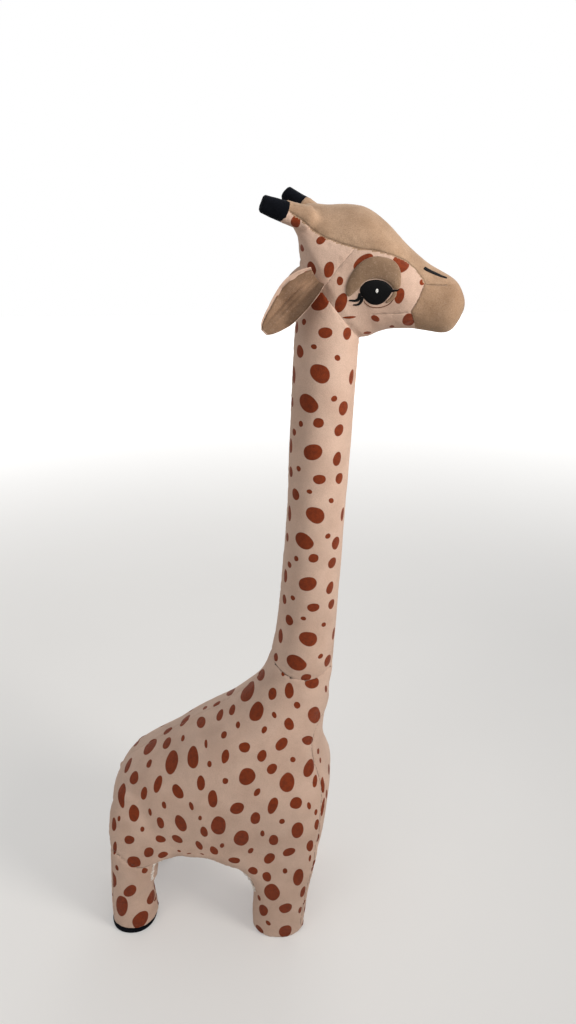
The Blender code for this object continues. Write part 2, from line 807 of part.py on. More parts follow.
def disc(middle, half_width, half_height, sides):
    """Faces and places of a flat oval: rings round a middle point."""
    places = []
    ring_shares = (1.0, 0.7, 0.35)
    for share in ring_shares:
        for turn in range(sides):
            angle = 2 * math.pi * turn / sides
            places.append((
                middle[0] + share * half_width * math.cos(angle),
                middle[1] + share * half_height * math.sin(angle),
            ))
    places.append(middle)
    rings = len(ring_shares)
    inmost = (rings - 1) * sides
    faces = grid_faces(rings, sides, wrap=True)
    faces += [
        (inmost + turn, inmost + (turn + 1) % sides, rings * sides) for turn in range(sides)
    ]
    return faces, places


def band(inner, outer, rows=2):
    """Faces and places of a strip between two lines of equal count."""
    places = []
    for row in range(rows):
        share = row / (rows - 1)
        places += [
            (a[0] + (b[0] - a[0]) * share, a[1] + (b[1] - a[1]) * share)
            for a, b in zip(inner, outer)
        ]
    return grid_faces(rows, len(inner)), places


def make_eye(name, side):
    """Embroidered eye, its highlight, the padded lid over it and the lower rim."""
    lift = FACE_LIFT
    centre = head_place(*EYE_PLACE_SHARES)
    middle = (centre.x, centre.z)
    faces, places = disc(middle, EYE_WIDTH / 2, EYE_HEIGHT / 2, EYE_SIDES)
    patch_on_head(name + "_eye", faces, places, side, lift, EYE_THICKNESS, BLACK_FINISH)
    shine = (middle[0] + HIGHLIGHT_WIDTH / 2, middle[1] + HIGHLIGHT_WIDTH / 2)
    faces, places = disc(shine, HIGHLIGHT_WIDTH / 2, HIGHLIGHT_WIDTH * 0.7, TUBE_SIDES)
    over = lift + EYE_THICKNESS + GAP
    patch_on_head(
        name + "_eye_highlight", faces, places, side, over, HIGHLIGHT_THICKNESS, WHITE_FINISH
    )
    inner, outer = [], []
    for turn in range(EYE_SIDES + 1):
        angle = math.pi * turn / EYE_SIDES
        inner.append(eye_point(angle, 2 * GAP))
        outer.append((
            middle[0] + LID_WIDTH / 2 * math.cos(angle),
            middle[1] + LID_RISE * math.sin(angle),
        ))
    faces, places = band(inner, outer, rows=5)
    patch_on_head(name + "_eyelid", faces, places, side, lift, LID_THICKNESS, LID_FINISH)
    inner, outer = [], []
    for turn in range(TUBE_SIDES + 1):
        angle = -math.radians(140 - 120 * turn / TUBE_SIDES)
        inner.append(eye_point(angle, THREAD_WIDTH / 2))
        outer.append(eye_point(angle, THREAD_WIDTH))
    faces, places = band(inner, outer)
    patch_on_head(name + "_lower_rim", faces, places, side, lift, THREAD_THICKNESS, LID_FINISH)
    make_lashes(name, side, lift)


def make_lashes(name, side, lift):
    """Embroidered lashes: short tapering strokes out from the eye's corners."""
    steps = 4
    for lash, start, end, reach in LASH_SHARES:
        inner, outer = [], []
        for step in range(steps):
            share = step / (steps - 1)
            angle = math.radians(start + (end - start) * share)
            x, z = eye_point(angle, 2 * GAP + reach * LASH_LENGTH * share)
            half = THREAD_WIDTH / 2 * (1.0 - 0.7 * share)
            inner.append((x, z - half))
            outer.append((x, z + half))
        faces, places = band(inner, outer)
        patch_on_head(
            name + "_" + lash, faces, places, side, lift, THREAD_THICKNESS, BLACK_FINISH
        )


def make_nostril(name, side):
    """A short embroidered slit on the top of the muzzle."""
    first, last = NOSTRIL_RINGS
    low, high = [], []
    steps = 5
    middle_angle = math.radians(NOSTRIL_ANGLE)
    for edge in (-1, 1):
        for step in range(steps):
            row = first + (last - first) * step / (steps - 1)
            ring = head_ring_at(row)
            taper = 0.25 + 0.75 * math.sin(math.pi * (0.1 + 0.8 * step / (steps - 1)))
            angle = middle_angle + edge * taper * THREAD_WIDTH / 2 / ring[3]
            place = ring_point(ring, side * angle)
            out = (place - (ring[0] + ring[1]) / 2).normalized()
            low.append(place + out * 2 * GAP)
            high.append(place + out * (2 * GAP + THREAD_THICKNESS))
    points, faces = sheet_solid(grid_faces(2, steps), low, high)
    add_object(name + "_nostril", points, faces, BLACK_FINISH)


def centre_on_ground():
    """Moves the whole toy so that the middle of its length stands over the origin."""
    bpy.context.view_layer.update()
    reach = [
        (made.matrix_world @ vertex.co).x
        for made in bpy.data.objects
        if made.type == "MESH" and not made.hide_render
        for vertex in made.data.vertices
    ]
    GROUND.location.x = -(min(reach) + max(reach)) / 2


clear_scene()

CLOTH_FINISH = material("printed_cloth", PRINTED_CLOTH, 0.9)
TAN_FINISH = material("tan_cloth", TAN_CLOTH, 0.9)
DARK_FINISH = material("dark_cloth", DARK_CLOTH, 0.85)
STUFFING_FINISH = material("stuffing", STUFFING, 1.0)
BOARD_FINISH = material("board", BOARD, 0.8)
TUBE_FINISH = material("tube", TUBE, 0.5)
BLACK_FINISH = material("black_thread", THREAD_BLACK, 0.6)
WHITE_FINISH = material("white_thread", THREAD_WHITE, 0.6)
LID_FINISH = material("lid_cloth", LID_CLOTH, 0.9)

# Everything hangs from one empty, which is centred under the finished toy at the end.
GROUND = bpy.data.objects.new("ground", None)
bpy.context.scene.collection.objects.link(GROUND)

TORSO_RINGS = [torso_ring(shares) for shares in TORSO_RING_SHARES]
HEAD_ORIGIN = point(
    TORSO_RINGS[-1][0].x + NECK_LEAN, TORSO_RINGS[-1][1].z + NECK_HEIGHT
)
HEAD_RINGS = [head_ring(shares) for shares in HEAD_RING_SHARES]
SEAM_OUT = (HEAD_RINGS[0][1] - HEAD_RINGS[0][0]).normalized().cross(Vector((0, 1, 0)))
HEAD_SEAM = tuple(end + SEAM_OUT * (-SEAM_GAP if SEAM_OUT.z > 0 else SEAM_GAP)
                  for end in HEAD_RINGS[0][:2])

NECK_BASE_MIDDLE = (TORSO_RINGS[-1][0] + TORSO_RINGS[-1][1]) / 2
NECK_TOP_MIDDLE = (HEAD_SEAM[0] + HEAD_SEAM[1]) / 2
CORE_DIRECTION = (NECK_TOP_MIDDLE - NECK_BASE_MIDDLE).normalized()
CORE_LINE = (
    NECK_BASE_MIDDLE - CORE_DIRECTION * CORE_FOOT_DEPTH,
    NECK_TOP_MIDDLE + CORE_DIRECTION * CORE_HEAD_REACH,
)
CORE_BORE = core_bore()

SKIN_POINTS, SKIN_FACES = head_skin(-GAP)
HEAD_SKIN = cutter("head_skin", SKIN_POINTS, SKIN_FACES)
SKIN_POINTS, SKIN_FACES = head_skin(0.0)
HEAD_TREE = BVHTree.FromPolygons(SKIN_POINTS, SKIN_FACES)
TORSO_POINTS, TORSO_FACES = loft(torso_rows(0.0))
TORSO_TREE = BVHTree.FromPolygons(TORSO_POINTS, TORSO_FACES)

make_torso()
for end_name, foot_x, table in (
    ("rear", REAR_FOOT_INSET, REAR_LEG_RING_SHARES),
    ("front", REAR_FOOT_INSET + FOOT_SPACING, FRONT_LEG_RING_SHARES),
):
    for side_name, side in (("right", -1), ("left", 1)):
        make_leg(end_name + "_" + side_name, foot_x, side, table)
make_neck()
make_head()
make_horn("right", -1, RIGHT_HORN_PLACE_SHARES, RIGHT_HORN_RISE)
make_horn("left", 1, LEFT_HORN_PLACE_SHARES, LEFT_HORN_RISE)
for side_name, side in (("right", -1), ("left", 1)):
    make_ear(side_name, side)
    make_eye(side_name, side)
    make_nostril(side_name, side)
make_tail()
centre_on_ground()
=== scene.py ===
"""Looks of a standing plush giraffe, sewn from printed jersey over stuffing.

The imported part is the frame. Lengths are metres: the giraffe faces +X, its right side is -Y
and it stands on Z = 0. Colours are written as sRGB, from 0 to 255.
"""
import json
import math

import bpy
import numpy as np
from mathutils import Matrix, Vector, noise
from mathutils.bvhtree import BVHTree
from mathutils.kdtree import KDTree

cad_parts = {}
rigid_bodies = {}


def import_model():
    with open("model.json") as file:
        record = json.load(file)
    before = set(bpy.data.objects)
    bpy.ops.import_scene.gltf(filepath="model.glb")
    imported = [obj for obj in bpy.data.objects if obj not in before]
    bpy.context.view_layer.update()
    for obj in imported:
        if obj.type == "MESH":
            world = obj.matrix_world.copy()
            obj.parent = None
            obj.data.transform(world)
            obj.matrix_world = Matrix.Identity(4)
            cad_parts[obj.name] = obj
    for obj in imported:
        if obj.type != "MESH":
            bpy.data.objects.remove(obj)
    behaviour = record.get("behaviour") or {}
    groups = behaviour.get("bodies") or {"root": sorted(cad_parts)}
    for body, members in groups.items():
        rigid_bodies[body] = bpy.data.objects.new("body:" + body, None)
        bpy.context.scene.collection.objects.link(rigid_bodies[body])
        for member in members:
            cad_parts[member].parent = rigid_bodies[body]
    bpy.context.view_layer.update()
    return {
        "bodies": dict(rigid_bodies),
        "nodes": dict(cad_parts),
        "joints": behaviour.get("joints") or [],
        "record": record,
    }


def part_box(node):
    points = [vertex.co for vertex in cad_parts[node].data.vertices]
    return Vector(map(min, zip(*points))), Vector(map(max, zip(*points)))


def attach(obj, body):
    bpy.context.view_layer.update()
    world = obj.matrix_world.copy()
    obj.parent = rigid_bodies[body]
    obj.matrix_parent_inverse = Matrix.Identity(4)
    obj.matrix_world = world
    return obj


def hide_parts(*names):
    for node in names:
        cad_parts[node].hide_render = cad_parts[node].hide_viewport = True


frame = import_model()


# Camera. A phone held at chest height beside the giraffe's right side, tipped down a little.
# It stands ahead of the middle of the feet, whose soles give its place in the frame.
CAMERA_AHEAD_OF_FEET = 0.231
CAMERA_ASIDE = 1.096
CAMERA_HEIGHT = 1.165
CAMERA_PITCH = 20.9
CAMERA_ROLL = 1.0
CAMERA_YAW = 4.26
FOCAL_PIXELS = 770.0
PICTURE_WIDTH = 576
PICTURE_HEIGHT = 1024
SENSOR = 36.0


def box_middle(node):
    low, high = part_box(node)
    return (low + high) / 2


REAR_FOOT_X = box_middle("rear_right_sole").x
FRONT_FOOT_X = box_middle("front_right_sole").x
FEET_X = (REAR_FOOT_X + FRONT_FOOT_X) / 2


def camera_axes():
    """The camera's ways to the picture's right, down the picture and ahead."""
    pitch, roll, yaw = (math.radians(a) for a in (CAMERA_PITCH, CAMERA_ROLL, CAMERA_YAW))
    level = Vector((-math.sin(yaw), math.cos(yaw), 0))
    right = Vector((math.cos(yaw), math.sin(yaw), 0))
    down = Vector((0, 0, -1))
    ahead = level * math.cos(pitch) + down * math.sin(pitch)
    lower = down * math.cos(pitch) - level * math.sin(pitch)
    across = right * math.cos(roll) + lower * math.sin(roll)
    below = lower * math.cos(roll) - right * math.sin(roll)
    return across, below, ahead


PICTURE_RIGHT, PICTURE_DOWN, CAMERA_AHEAD = camera_axes()
CAMERA_PLACE = Vector((FEET_X + CAMERA_AHEAD_OF_FEET, -CAMERA_ASIDE, CAMERA_HEIGHT))


def in_scene(name, data):
    """A new object in the scene."""
    made = bpy.data.objects.new(name, data)
    bpy.context.scene.collection.objects.link(made)
    return made


def make_camera():
    lens = bpy.data.cameras.new("camera")
    lens.sensor_width = SENSOR
    lens.lens = FOCAL_PIXELS * SENSOR / PICTURE_HEIGHT
    camera = in_scene("camera", lens)
    turn = Matrix((PICTURE_RIGHT, -PICTURE_DOWN, -CAMERA_AHEAD)).transposed().to_4x4()
    camera.matrix_world = Matrix.Translation(CAMERA_PLACE) @ turn
    bpy.context.scene.camera = camera


def picture_ray(pixel):
    """The way from the camera through a pixel of the photograph."""
    across = pixel[0] - PICTURE_WIDTH / 2
    below = pixel[1] - PICTURE_HEIGHT / 2
    way = PICTURE_RIGHT * across + PICTURE_DOWN * below + CAMERA_AHEAD * FOCAL_PIXELS
    return way.normalized()


make_camera()


# Printed cloth. Cream jersey with a rust spot print, sewn into every shell of the body,
# neck and head. Each mesh carries its own print and its distance to the nearest seam.
CREAM = (209, 178, 158)
CREAM_DEEP = (200, 168, 148)
RUST = (128, 49, 12)
RUST_DEEP = (110, 41, 10)
SPOT_WOBBLE = 0.24
SPOT_EDGE = 0.035
FUZZ_SIZE = 0.0007
RUBBED_SIZE = 0.035
PUCKER_SIZE = 0.0045
SEAM_RELIEF = 1.3
SEAM_REACH = 0.03


def linear(colour):
    """An sRGB colour, 0 to 255, as linear RGBA."""
    shares = [channel / 255 for channel in colour]
    values = [c / 12.92 if c <= 0.04045 else ((c + 0.055) / 1.055) ** 2.4 for c in shares]
    return (*values, 1.0)


def feed(tree, socket, value):
    """Links another node's output to the socket, or sets the socket to a plain value."""
    if isinstance(value, bpy.types.NodeSocket):
        tree.links.new(value, socket)
    else:
        socket.default_value = value


def add(tree, kind, inputs=None, **settings):
    """A node with its settings, and its inputs set or linked."""
    made = tree.nodes.new(kind)
    for name, value in settings.items():
        setattr(made, name, value)
    for name, value in (inputs or {}).items():
        feed(tree, made.inputs[name], value)
    return made


def maths(tree, operation, first, second=0.0):
    return add(tree, "ShaderNodeMath", {0: first, 1: second}, operation=operation).outputs[0]


def remap(tree, value, low, high, new_low=0.0, new_high=1.0):
    """A value brought smoothly from one range into another."""
    inputs = {"Value": value, "From Min": low, "From Max": high}
    inputs.update({"To Min": new_low, "To Max": new_high})
    made = add(tree, "ShaderNodeMapRange", inputs, interpolation_type="SMOOTHSTEP")
    return made.outputs["Result"]


def blend_colours(tree, share, first, second, kind="MIX"):
    inputs = {0: share, 6: first, 7: second}
    return add(tree, "ShaderNodeMix", inputs, data_type="RGBA", blend_type=kind).outputs[2]


def speckle(tree, place, size, detail=2.0, roughness=0.5):
    """Noise whose grains are about size metres across."""
    inputs = {"Vector": place, "Scale": 1.0 / size, "Detail": detail, "Roughness": roughness}
    return add(tree, "ShaderNodeTexNoise", inputs).outputs["Fac"]


def new_group(name, inputs, outputs):
    """A node group. An input without a value is a place, and all the others are numbers."""
    tree = bpy.data.node_groups.new(name, "ShaderNodeTree")
    for socket, value in inputs.items():
        kind = "NodeSocketVector" if value is None else "NodeSocketFloat"
        made = tree.interface.new_socket(name=socket, in_out="INPUT", socket_type=kind)
        if value is not None:
            made.default_value = value
    for socket in outputs:
        tree.interface.new_socket(name=socket, in_out="OUTPUT", socket_type="NodeSocketFloat")
    ins, outs = tree.nodes.new("NodeGroupInput"), tree.nodes.new("NodeGroupOutput")
    return tree, ins.outputs, outs.inputs


def make_nap_group():
    """Knit loops, fuzz and soft rubbing that every cloth shares: a height, and a shade of uneven
    tone and painted shade in the gaps between loops.
    """
    inputs = {"Place": None, "Loop Size": 0.0011, "Fuzz": 0.5}
    tree, ins, outs = new_group("cloth_nap", inputs, ("Height", "Shade"))
    scale = maths(tree, "DIVIDE", 1.0, ins["Loop Size"])
    loops = add(tree, "ShaderNodeTexVoronoi", {"Vector": ins["Place"], "Scale": scale})
    cells = remap(tree, loops.outputs["Distance"], 0.0, 0.75, 1.0, 0.0)
    fuzz = speckle(tree, ins["Place"], FUZZ_SIZE, 3.0, 0.65)
    rubbed = speckle(tree, ins["Place"], RUBBED_SIZE, 3.0, 0.55)
    fine = maths(tree, "MULTIPLY", fuzz, ins["Fuzz"])
    tree.links.new(maths(tree, "ADD", cells, fine), outs["Height"])
    uneven = remap(tree, rubbed, 0.3, 0.7, 0.94, 1.03)
    # Painted shade: the cloth darkens in the gaps between the knit loops and the fuzz.
    pit = remap(tree, maths(tree, "ADD", cells, fuzz), 0.3, 1.3, 0.90, 1.04)
    tree.links.new(maths(tree, "MULTIPLY", uneven, pit), outs["Shade"])
    return tree


def make_seam_group():
    """A sewn seam from the distance to it: a sharp valley, small puckers and painted shade at its
    bottom.
    """
    inputs = {"Place": None, "Distance": 1.0}
    tree, ins, outs = new_group("sewn_seam", inputs, ("Height", "Shade"))
    valley = remap(tree, ins["Distance"], 0.0002, 0.0022, -1.0, 0.0)
    near = remap(tree, ins["Distance"], 0.0008, 0.011, 1.0, 0.0)
    pucker = speckle(tree, ins["Place"], PUCKER_SIZE, 1.0)
    ripple = maths(tree, "MULTIPLY", maths(tree, "SUBTRACT", pucker, 0.5), near)
    tree.links.new(maths(tree, "ADD", valley, ripple), outs["Height"])
    # Painted shade: the cloth darkens towards the bottom of the seam.
    tree.links.new(remap(tree, ins["Distance"], 0.0001, 0.0016, 0.55, 1.0), outs["Shade"])
    return tree


def make_print_group():
    """The spot print: how much rust dye is at a place given in the nearest spot's own frame."""
    tree, ins, outs = new_group("spot_print", {"Print": None, "Wobble": SPOT_WOBBLE}, ("Dye",))
    across, along, seed = add(tree, "ShaderNodeSeparateXYZ", {0: ins["Print"]}).outputs
    flat = add(tree, "ShaderNodeCombineXYZ", {0: across, 1: along}).outputs[0]
    radius = add(tree, "ShaderNodeVectorMath", {0: flat}, operation="LENGTH").outputs["Value"]
    inputs = {"Vector": flat, "W": seed, "Scale": 0.6, "Detail": 0.0}
    shape = add(tree, "ShaderNodeTexNoise", inputs, noise_dimensions="4D").outputs["Fac"]
    offset = maths(tree, "MULTIPLY", maths(tree, "SUBTRACT", shape, 0.5), ins["Wobble"])
    edge = maths(tree, "ADD", radius, maths(tree, "MULTIPLY", offset, 2.0))
    tree.links.new(remap(tree, edge, 1.0 - SPOT_EDGE, 1.0 + SPOT_EDGE, 1.0, 0.0), outs["Dye"])
    return tree


NAP = make_nap_group()
SEWN = make_seam_group()
SPOTS = make_print_group()


def new_material(name):
    """A material, its nodes, its shader and the place that is shaded, in metres."""
    made = bpy.data.materials.new(name)
    made.use_nodes = True
    tree = made.node_tree
    place = add(tree, "ShaderNodeTexCoord").outputs["Object"]
    return made, tree, tree.nodes["Principled BSDF"], place


def use_group(tree, group, **inputs):
    """The outputs of a group. An underscore in an input's name stands for a space."""
    made = add(tree, "ShaderNodeGroup", node_tree=group)
    for name, value in inputs.items():
        feed(tree, made.inputs[name.replace("_", " ")], value)
    return made.outputs


def shade(tree, colour, *values):
    """A colour darkened or lightened by each value in turn."""
    product = values[0]
    for value in values[1:]:
        product = maths(tree, "MULTIPLY", product, value)
    grey = add(tree, "ShaderNodeCombineColor", {0: product, 1: product, 2: product}).outputs[0]
    return blend_colours(tree, 1.0, colour, grey, "MULTIPLY")


def bump(tree, shader, height, depth, strength):
    inputs = {"Height": height, "Distance": depth, "Strength": strength}
    made = add(tree, "ShaderNodeBump", inputs)
    tree.links.new(made.outputs["Normal"], shader.inputs["Normal"])


def set_surface(tree, shader, colour, roughness, sheen, specular=0.25):
    """Sets a cloth's shader. sheen is the sheen's weight, its roughness and its tint."""
    weight, softness, tint = sheen
    values = {
        "Base Color": colour, "Roughness": roughness, "Sheen Weight": weight,
        "Sheen Roughness": softness, "Sheen Tint": linear(tint), "Specular IOR Level": specular,
    }
    for name, value in values.items():
        feed(tree, shader.inputs[name], value)


def finish_cloth(tree, shader, place, colour, nap, nap_share, folds, roughness, sheen, relief):
    """Sewn cloth: its loops and seams stand out, painted shade darkens it between the loops and at
    the bottoms of seams, and it lies in soft folds.
    """
    seam = add(tree, "ShaderNodeAttribute", attribute_name="Seam").outputs["Fac"]
    sewn = use_group(tree, SEWN, Place=place, Distance=seam)
    colour = shade(tree, colour, nap["Shade"], sewn["Shade"])
    set_surface(tree, shader, colour, roughness, sheen)
    height = maths(tree, "ADD", maths(tree, "MULTIPLY", nap["Height"], nap_share), folds)
    height = maths(tree, "ADD", height, maths(tree, "MULTIPLY", sewn["Height"], SEAM_RELIEF))
    bump(tree, shader, height, *relief)


def make_printed_cloth():
    made, tree, shader, place = new_material("printed_jersey")
    printed = add(tree, "ShaderNodeAttribute", attribute_name="Print").outputs["Vector"]
    blotch = remap(tree, speckle(tree, place, 0.05, 3.0), 0.35, 0.7)
    ground = blend_colours(tree, blotch, linear(CREAM), linear(CREAM_DEEP))
    worn = remap(tree, speckle(tree, place, 0.006, 3.0), 0.35, 0.75)
    rust = blend_colours(tree, worn, linear(RUST), linear(RUST_DEEP))
    colour = blend_colours(tree, use_group(tree, SPOTS, Print=printed)["Dye"], ground, rust)
    nap = use_group(tree, NAP, Place=place, Loop_Size=0.0012, Fuzz=0.5)
    folds = maths(tree, "MULTIPLY", speckle(tree, place, 0.018, 2.0), 1.2)
    finish_cloth(tree, shader, place, colour, nap, 0.30, folds, 0.88, (0.22, 0.45, (255, 236, 222)),
                 (0.0011, 0.55))
    return made


PRINTED = make_printed_cloth()

# One repeat of the print, read off the neck: place across and down from the repeat's first
# spot, then half width and half height, in pixels of the photograph on the upper neck.
REPEAT_PIXELS = (
    (-0.5, 0.0, 11.2, 8.8, 25), (-13.0, 29.0, 10.6, 9.0, 22), (14.0, 24.0, 2.9, 2.9, 0),
    (23.6, 35.0, 4.7, 6.7, 18), (-1.5, 47.0, 6.1, 5.2, -5), (-20.0, 50.0, 2.3, 2.9, 10),
    (20.7, 56.0, 4.6, 5.8, 32), (-27.5, 60.0, 2.1, 3.4, 0), (-6.0, 77.0, 9.8, 8.0, -14),
    (-31.0, 75.0, 1.7, 7.7, -4), (19.6, 85.0, 4.3, 7.4, 14), (-21.4, 95.5, 2.4, 3.0, 0),
    (1.4, 104.0, 6.9, 5.2, 0), (23.4, 106.0, 4.1, 5.7, -5), (-30.0, 102.0, 2.0, 5.4, -10),
    (-8.6, 117.0, 3.2, 2.5, 5), (-24.0, 123.0, 3.7, 5.8, -24), (15.6, 127.7, 3.3, 2.6, 30),
    (-30.5, 4.6, 2.0, 8.0, -5), (30.0, 6.5, 2.0, 7.3, 5), (-31.5, 32.0, 1.5, 5.0, 0),
)
NECK_PIXELS = 34.0
NECK_RADIUS = 0.049
PIXEL_DOWN = 0.001457
REPEAT_LENGTH = 0.2065
REPEAT_WIDTH = 0.156
REPEAT_DROP = 0.5


def repeat_spots():
    """The repeat as flat cloth: place across and along, half width and half length, and turn."""
    spots = []
    for across, down, half_width, half_height, tilt in REPEAT_PIXELS:
        turn = math.asin(max(-0.95, min(0.95, across / NECK_PIXELS)))
        flat = half_width / NECK_PIXELS * NECK_RADIUS / max(math.cos(turn), 0.34)
        place = (-turn * NECK_RADIUS, -down * PIXEL_DOWN)
        spots.append((*place, flat, half_height * PIXEL_DOWN, math.radians(tilt)))
    return np.array(spots)


REPEAT = repeat_spots()

# The print is the same beyond this many half widths of a spot. Each spot has its own seed.
FAR_PRINT = 3.0
SPOT_SEED = 3.7
COLUMN_SEED = 1.3


def turned(place, tilt, half_width, half_height):
    """A place in the frame of a spot whose top leans to the right by its tilt."""
    right, rise = place
    across = right * math.cos(tilt) - rise * math.sin(tilt)
    along = right * math.sin(tilt) + rise * math.cos(tilt)
    return across / half_width, along / half_height


def printed_by_repeat(corners, shift=(0.0, 0.0)):
    """The print at face corners given by their places on flat cloth.

    Each column of repeats is dropped beside the last. The result has one row for each corner:
    its place in the nearest spot's frame, and a seed.
    """
    corners = corners - np.array(shift)
    middle = corners.mean(axis=1)
    best = np.full(len(corners), np.inf)
    result = np.full((*corners.shape[:2], 3), FAR_PRINT)
    column = np.round(middle[:, 0] / REPEAT_WIDTH)
    for number, (across, along, half_width, half_length, tilt) in enumerate(REPEAT):
        for step in (-1, 0, 1):
            place = column + step
            centre_x = across + place * REPEAT_WIDTH
            base = along + place * REPEAT_DROP * REPEAT_LENGTH
            centre_z = base + np.round((middle[:, 1] - base) / REPEAT_LENGTH) * REPEAT_LENGTH
            near = (centre_x - middle[:, 0], middle[:, 1] - centre_z)
            reach = np.hypot(*turned(near, tilt, half_width, half_length))
            closer = reach < best
            best[closer] = reach[closer]
            away = centre_x[closer, None] - corners[closer, :, 0]
            rise = corners[closer, :, 1] - centre_z[closer, None]
            local = turned((away, rise), tilt, half_width, half_length)
            result[closer, :, 0], result[closer, :, 1] = local
            result[closer, :, 2] = number * SPOT_SEED + (place[closer, None] * COLUMN_SEED)
    result[best > FAR_PRINT, :, :2] = FAR_PRINT
    return result


# The print turned over for the left side, and as it is for the right side.
MIRRORS = (np.array([1.0, -1.0, 1.0]), np.array([1.0, 1.0, 1.0]))
MIDDLE_CLEAR = 0.030

# How flat to the view a spot may lie, how far a face may turn from a spot or lie from it, and
# how many half widths of a spot the print of it needs.
LEAST_FACING = 0.22
LEAST_LIKENESS = 0.1
SPOT_DEPTH = 0.03
SPOT_REACH = 1.3


def leaning(tilt):
    """The turn that leans a spot's top to the right by its tilt in degrees."""
    turn = math.radians(tilt)
    return np.array([[math.cos(turn), math.sin(turn)], [-math.sin(turn), math.cos(turn)]])


def laid_spot(place, first, normal, shape):
    """A spot on a surface: its place, two ways along it, its normal and the map to its frame."""
    ways = (place, first, normal.cross(first), normal)
    return (*(np.array(way) for way in ways), shape)


def spot_frames(tree, spots, unit):
    """Spots read off the photograph, laid on the surface that the camera sees there."""
    frames = []
    for across, down, half_width, half_height, tilt in spots:
        place, normal, _, _ = tree.ray_cast(CAMERA_PLACE, picture_ray((across, down)))
        if place is None:
            continue
        scale = FOCAL_PIXELS / CAMERA_AHEAD.dot(place - CAMERA_PLACE)
        view = (place - CAMERA_PLACE).normalized()
        if normal.dot(view) > 0:
            normal = -normal
        first = (PICTURE_RIGHT - normal * PICTURE_RIGHT.dot(normal)).normalized()
        steps = [way - view * way.dot(view) for way in (first, normal.cross(first))]
        pixels = np.array([[step.dot(axis) * scale for step in steps]
                           for axis in (PICTURE_RIGHT, PICTURE_DOWN)])
        u, stretch, v = np.linalg.svd(pixels)
        stretch = np.maximum(stretch, max(LEAST_FACING, -normal.dot(view)) * scale)
        shape = np.diag([unit / half_width, unit / half_height]) @ leaning(tilt)
        frames.append(laid_spot(place, first, normal, shape @ (u @ np.diag(stretch) @ v)))
    return frames


def printed_by_frames(points, faces, normals, frames):
    """The print on faces that the photograph shows, from the spots laid on the surface."""
    corners = points[faces]
    middle = corners.mean(axis=1)
    best = np.full(len(faces), np.inf)
    result = np.full((len(faces), faces.shape[1], 3), FAR_PRINT)
    for number, (place, first, second, normal, shape) in enumerate(frames):
        way = middle - place
        flat = np.stack([way @ first, way @ second], axis=1) @ shape.T
        reach = np.hypot(flat[:, 0], flat[:, 1])
        beside_it = (normals @ normal > LEAST_LIKENESS) & (np.abs(way @ normal) < SPOT_DEPTH)
        closer = (reach < best) & beside_it
        best[closer] = reach[closer]
        way = corners[closer] - place
        result[closer, :, :2] = np.stack([way @ first, way @ second], axis=2) @ shape.T
        result[closer, :, 2] = number * SPOT_SEED
    result[best > FAR_PRINT, :, :2] = FAR_PRINT
    return result


def seen_print(points, faces, normals, frames):
    """The photographed print on all faces, then which faces it sees and which hold a spot."""
    seen = printed_by_frames(points, faces, normals, frames)
    facing = (normals * (points[faces].mean(axis=1) - np.array(CAMERA_PLACE))).sum(axis=1) < 0
    inside = np.hypot(seen[:, :, 0], seen[:, :, 1]).min(axis=1) < SPOT_REACH
    return seen, facing, inside


def lay_seen_print(printed, points, faces, normals, frames, chosen):
    """Lays the photographed print on the right side and, turned over, on the left side.

    Spots near the middle are on one side only. chosen picks faces from those that the
    photograph sees and those that hold a spot.
    """
    across = points[faces].mean(axis=1)[:, 1]
    taken = np.zeros(len(faces), bool)
    beyond = [frame[0] for frame in frames if frame[0][1] > 0]
    for mirror in MIRRORS:
        left = mirror[1] < 0
        own = [frame for frame in frames if not left or (
            abs(frame[0][1]) > MIDDLE_CLEAR
            and all(np.linalg.norm(frame[0] * mirror - place) > MIDDLE_CLEAR for place in beyond))]
        seen, facing, inside = seen_print(points * mirror, faces, normals * mirror, own)
        here = across > 0 if left else (across < 0) | (facing & ~taken)
        taken = here & inside
        shown = here & chosen(facing, inside)
        printed[shown] = seen[shown]


# Body and legs. Two printed side panels meet along the back and run down into the legs;
# a gusset closes the chest, the belly and the insides of the legs. All is stuffed firmly.
BODY_LENGTH = 0.385
BODY_WIDTH = 0.226
BODY_HEIGHT = 0.326
FOOT_LENGTH = 0.078
FOOT_WIDTH = 0.076
SKIN_VOXEL = 0.0042
SKIN_ROUNDS = 14
LOFT_SIDES = 96
GUSSET_TURN = 0.80
RIDGE = 0.0042
RIDGE_REACH = 0.009
NECK_SEAM_EASE = 0.0022
SPINE_SEAM_EASE = 0.0016

# Rows of size, seed and amount of the cloth's swelling.
BODY_SWELLS = ((0.050, 11.0, 0.0012), (0.110, 5.0, 0.0008))

# How near to zero the field of a seam is at the points on it.
SEAM_NEAR = 1e-6
RIM_NEAR = 1e-5
NECK_SEAM_NEAR = 2e-4

# Rings up the body: rear x, rear z, front x, front z, half width, squareness in front, and
# squareness behind, where the back runs to a ridge.
BODY_SHARES = (
    (0.005, 0.000, 0.951, 0.000, 0.965, 6.0, 3.1),
    (0.001, 0.111, 0.969, 0.111, 0.991, 6.0, 3.0),
    (0.006, 0.211, 0.982, 0.217, 1.000, 5.0, 2.8),
    (0.037, 0.300, 0.991, 0.322, 0.992, 3.7, 2.6),
    (0.085, 0.367, 0.976, 0.409, 0.966, 3.0, 2.3),
    (0.151, 0.424, 0.962, 0.486, 0.940, 2.6, 2.0),
    (0.232, 0.487, 0.957, 0.560, 0.898, 2.35, 1.80),
    (0.312, 0.557, 0.961, 0.635, 0.840, 2.2, 1.74),
    (0.405, 0.625, 0.970, 0.709, 0.761, 2.1, 1.72),
    (0.499, 0.693, 0.983, 0.780, 0.673, 2.0, 1.74),
    (0.582, 0.765, 0.987, 0.848, 0.593, 2.1, 1.80),
    (0.655, 0.842, 0.994, 0.901, 0.522, 2.1, 1.95),
    (0.706, 0.926, 0.999, 0.938, 0.478, 2.0, 2.0),
    (0.738, 1.022, 1.000, 0.972, 0.447, 2.0, 2.0),
)
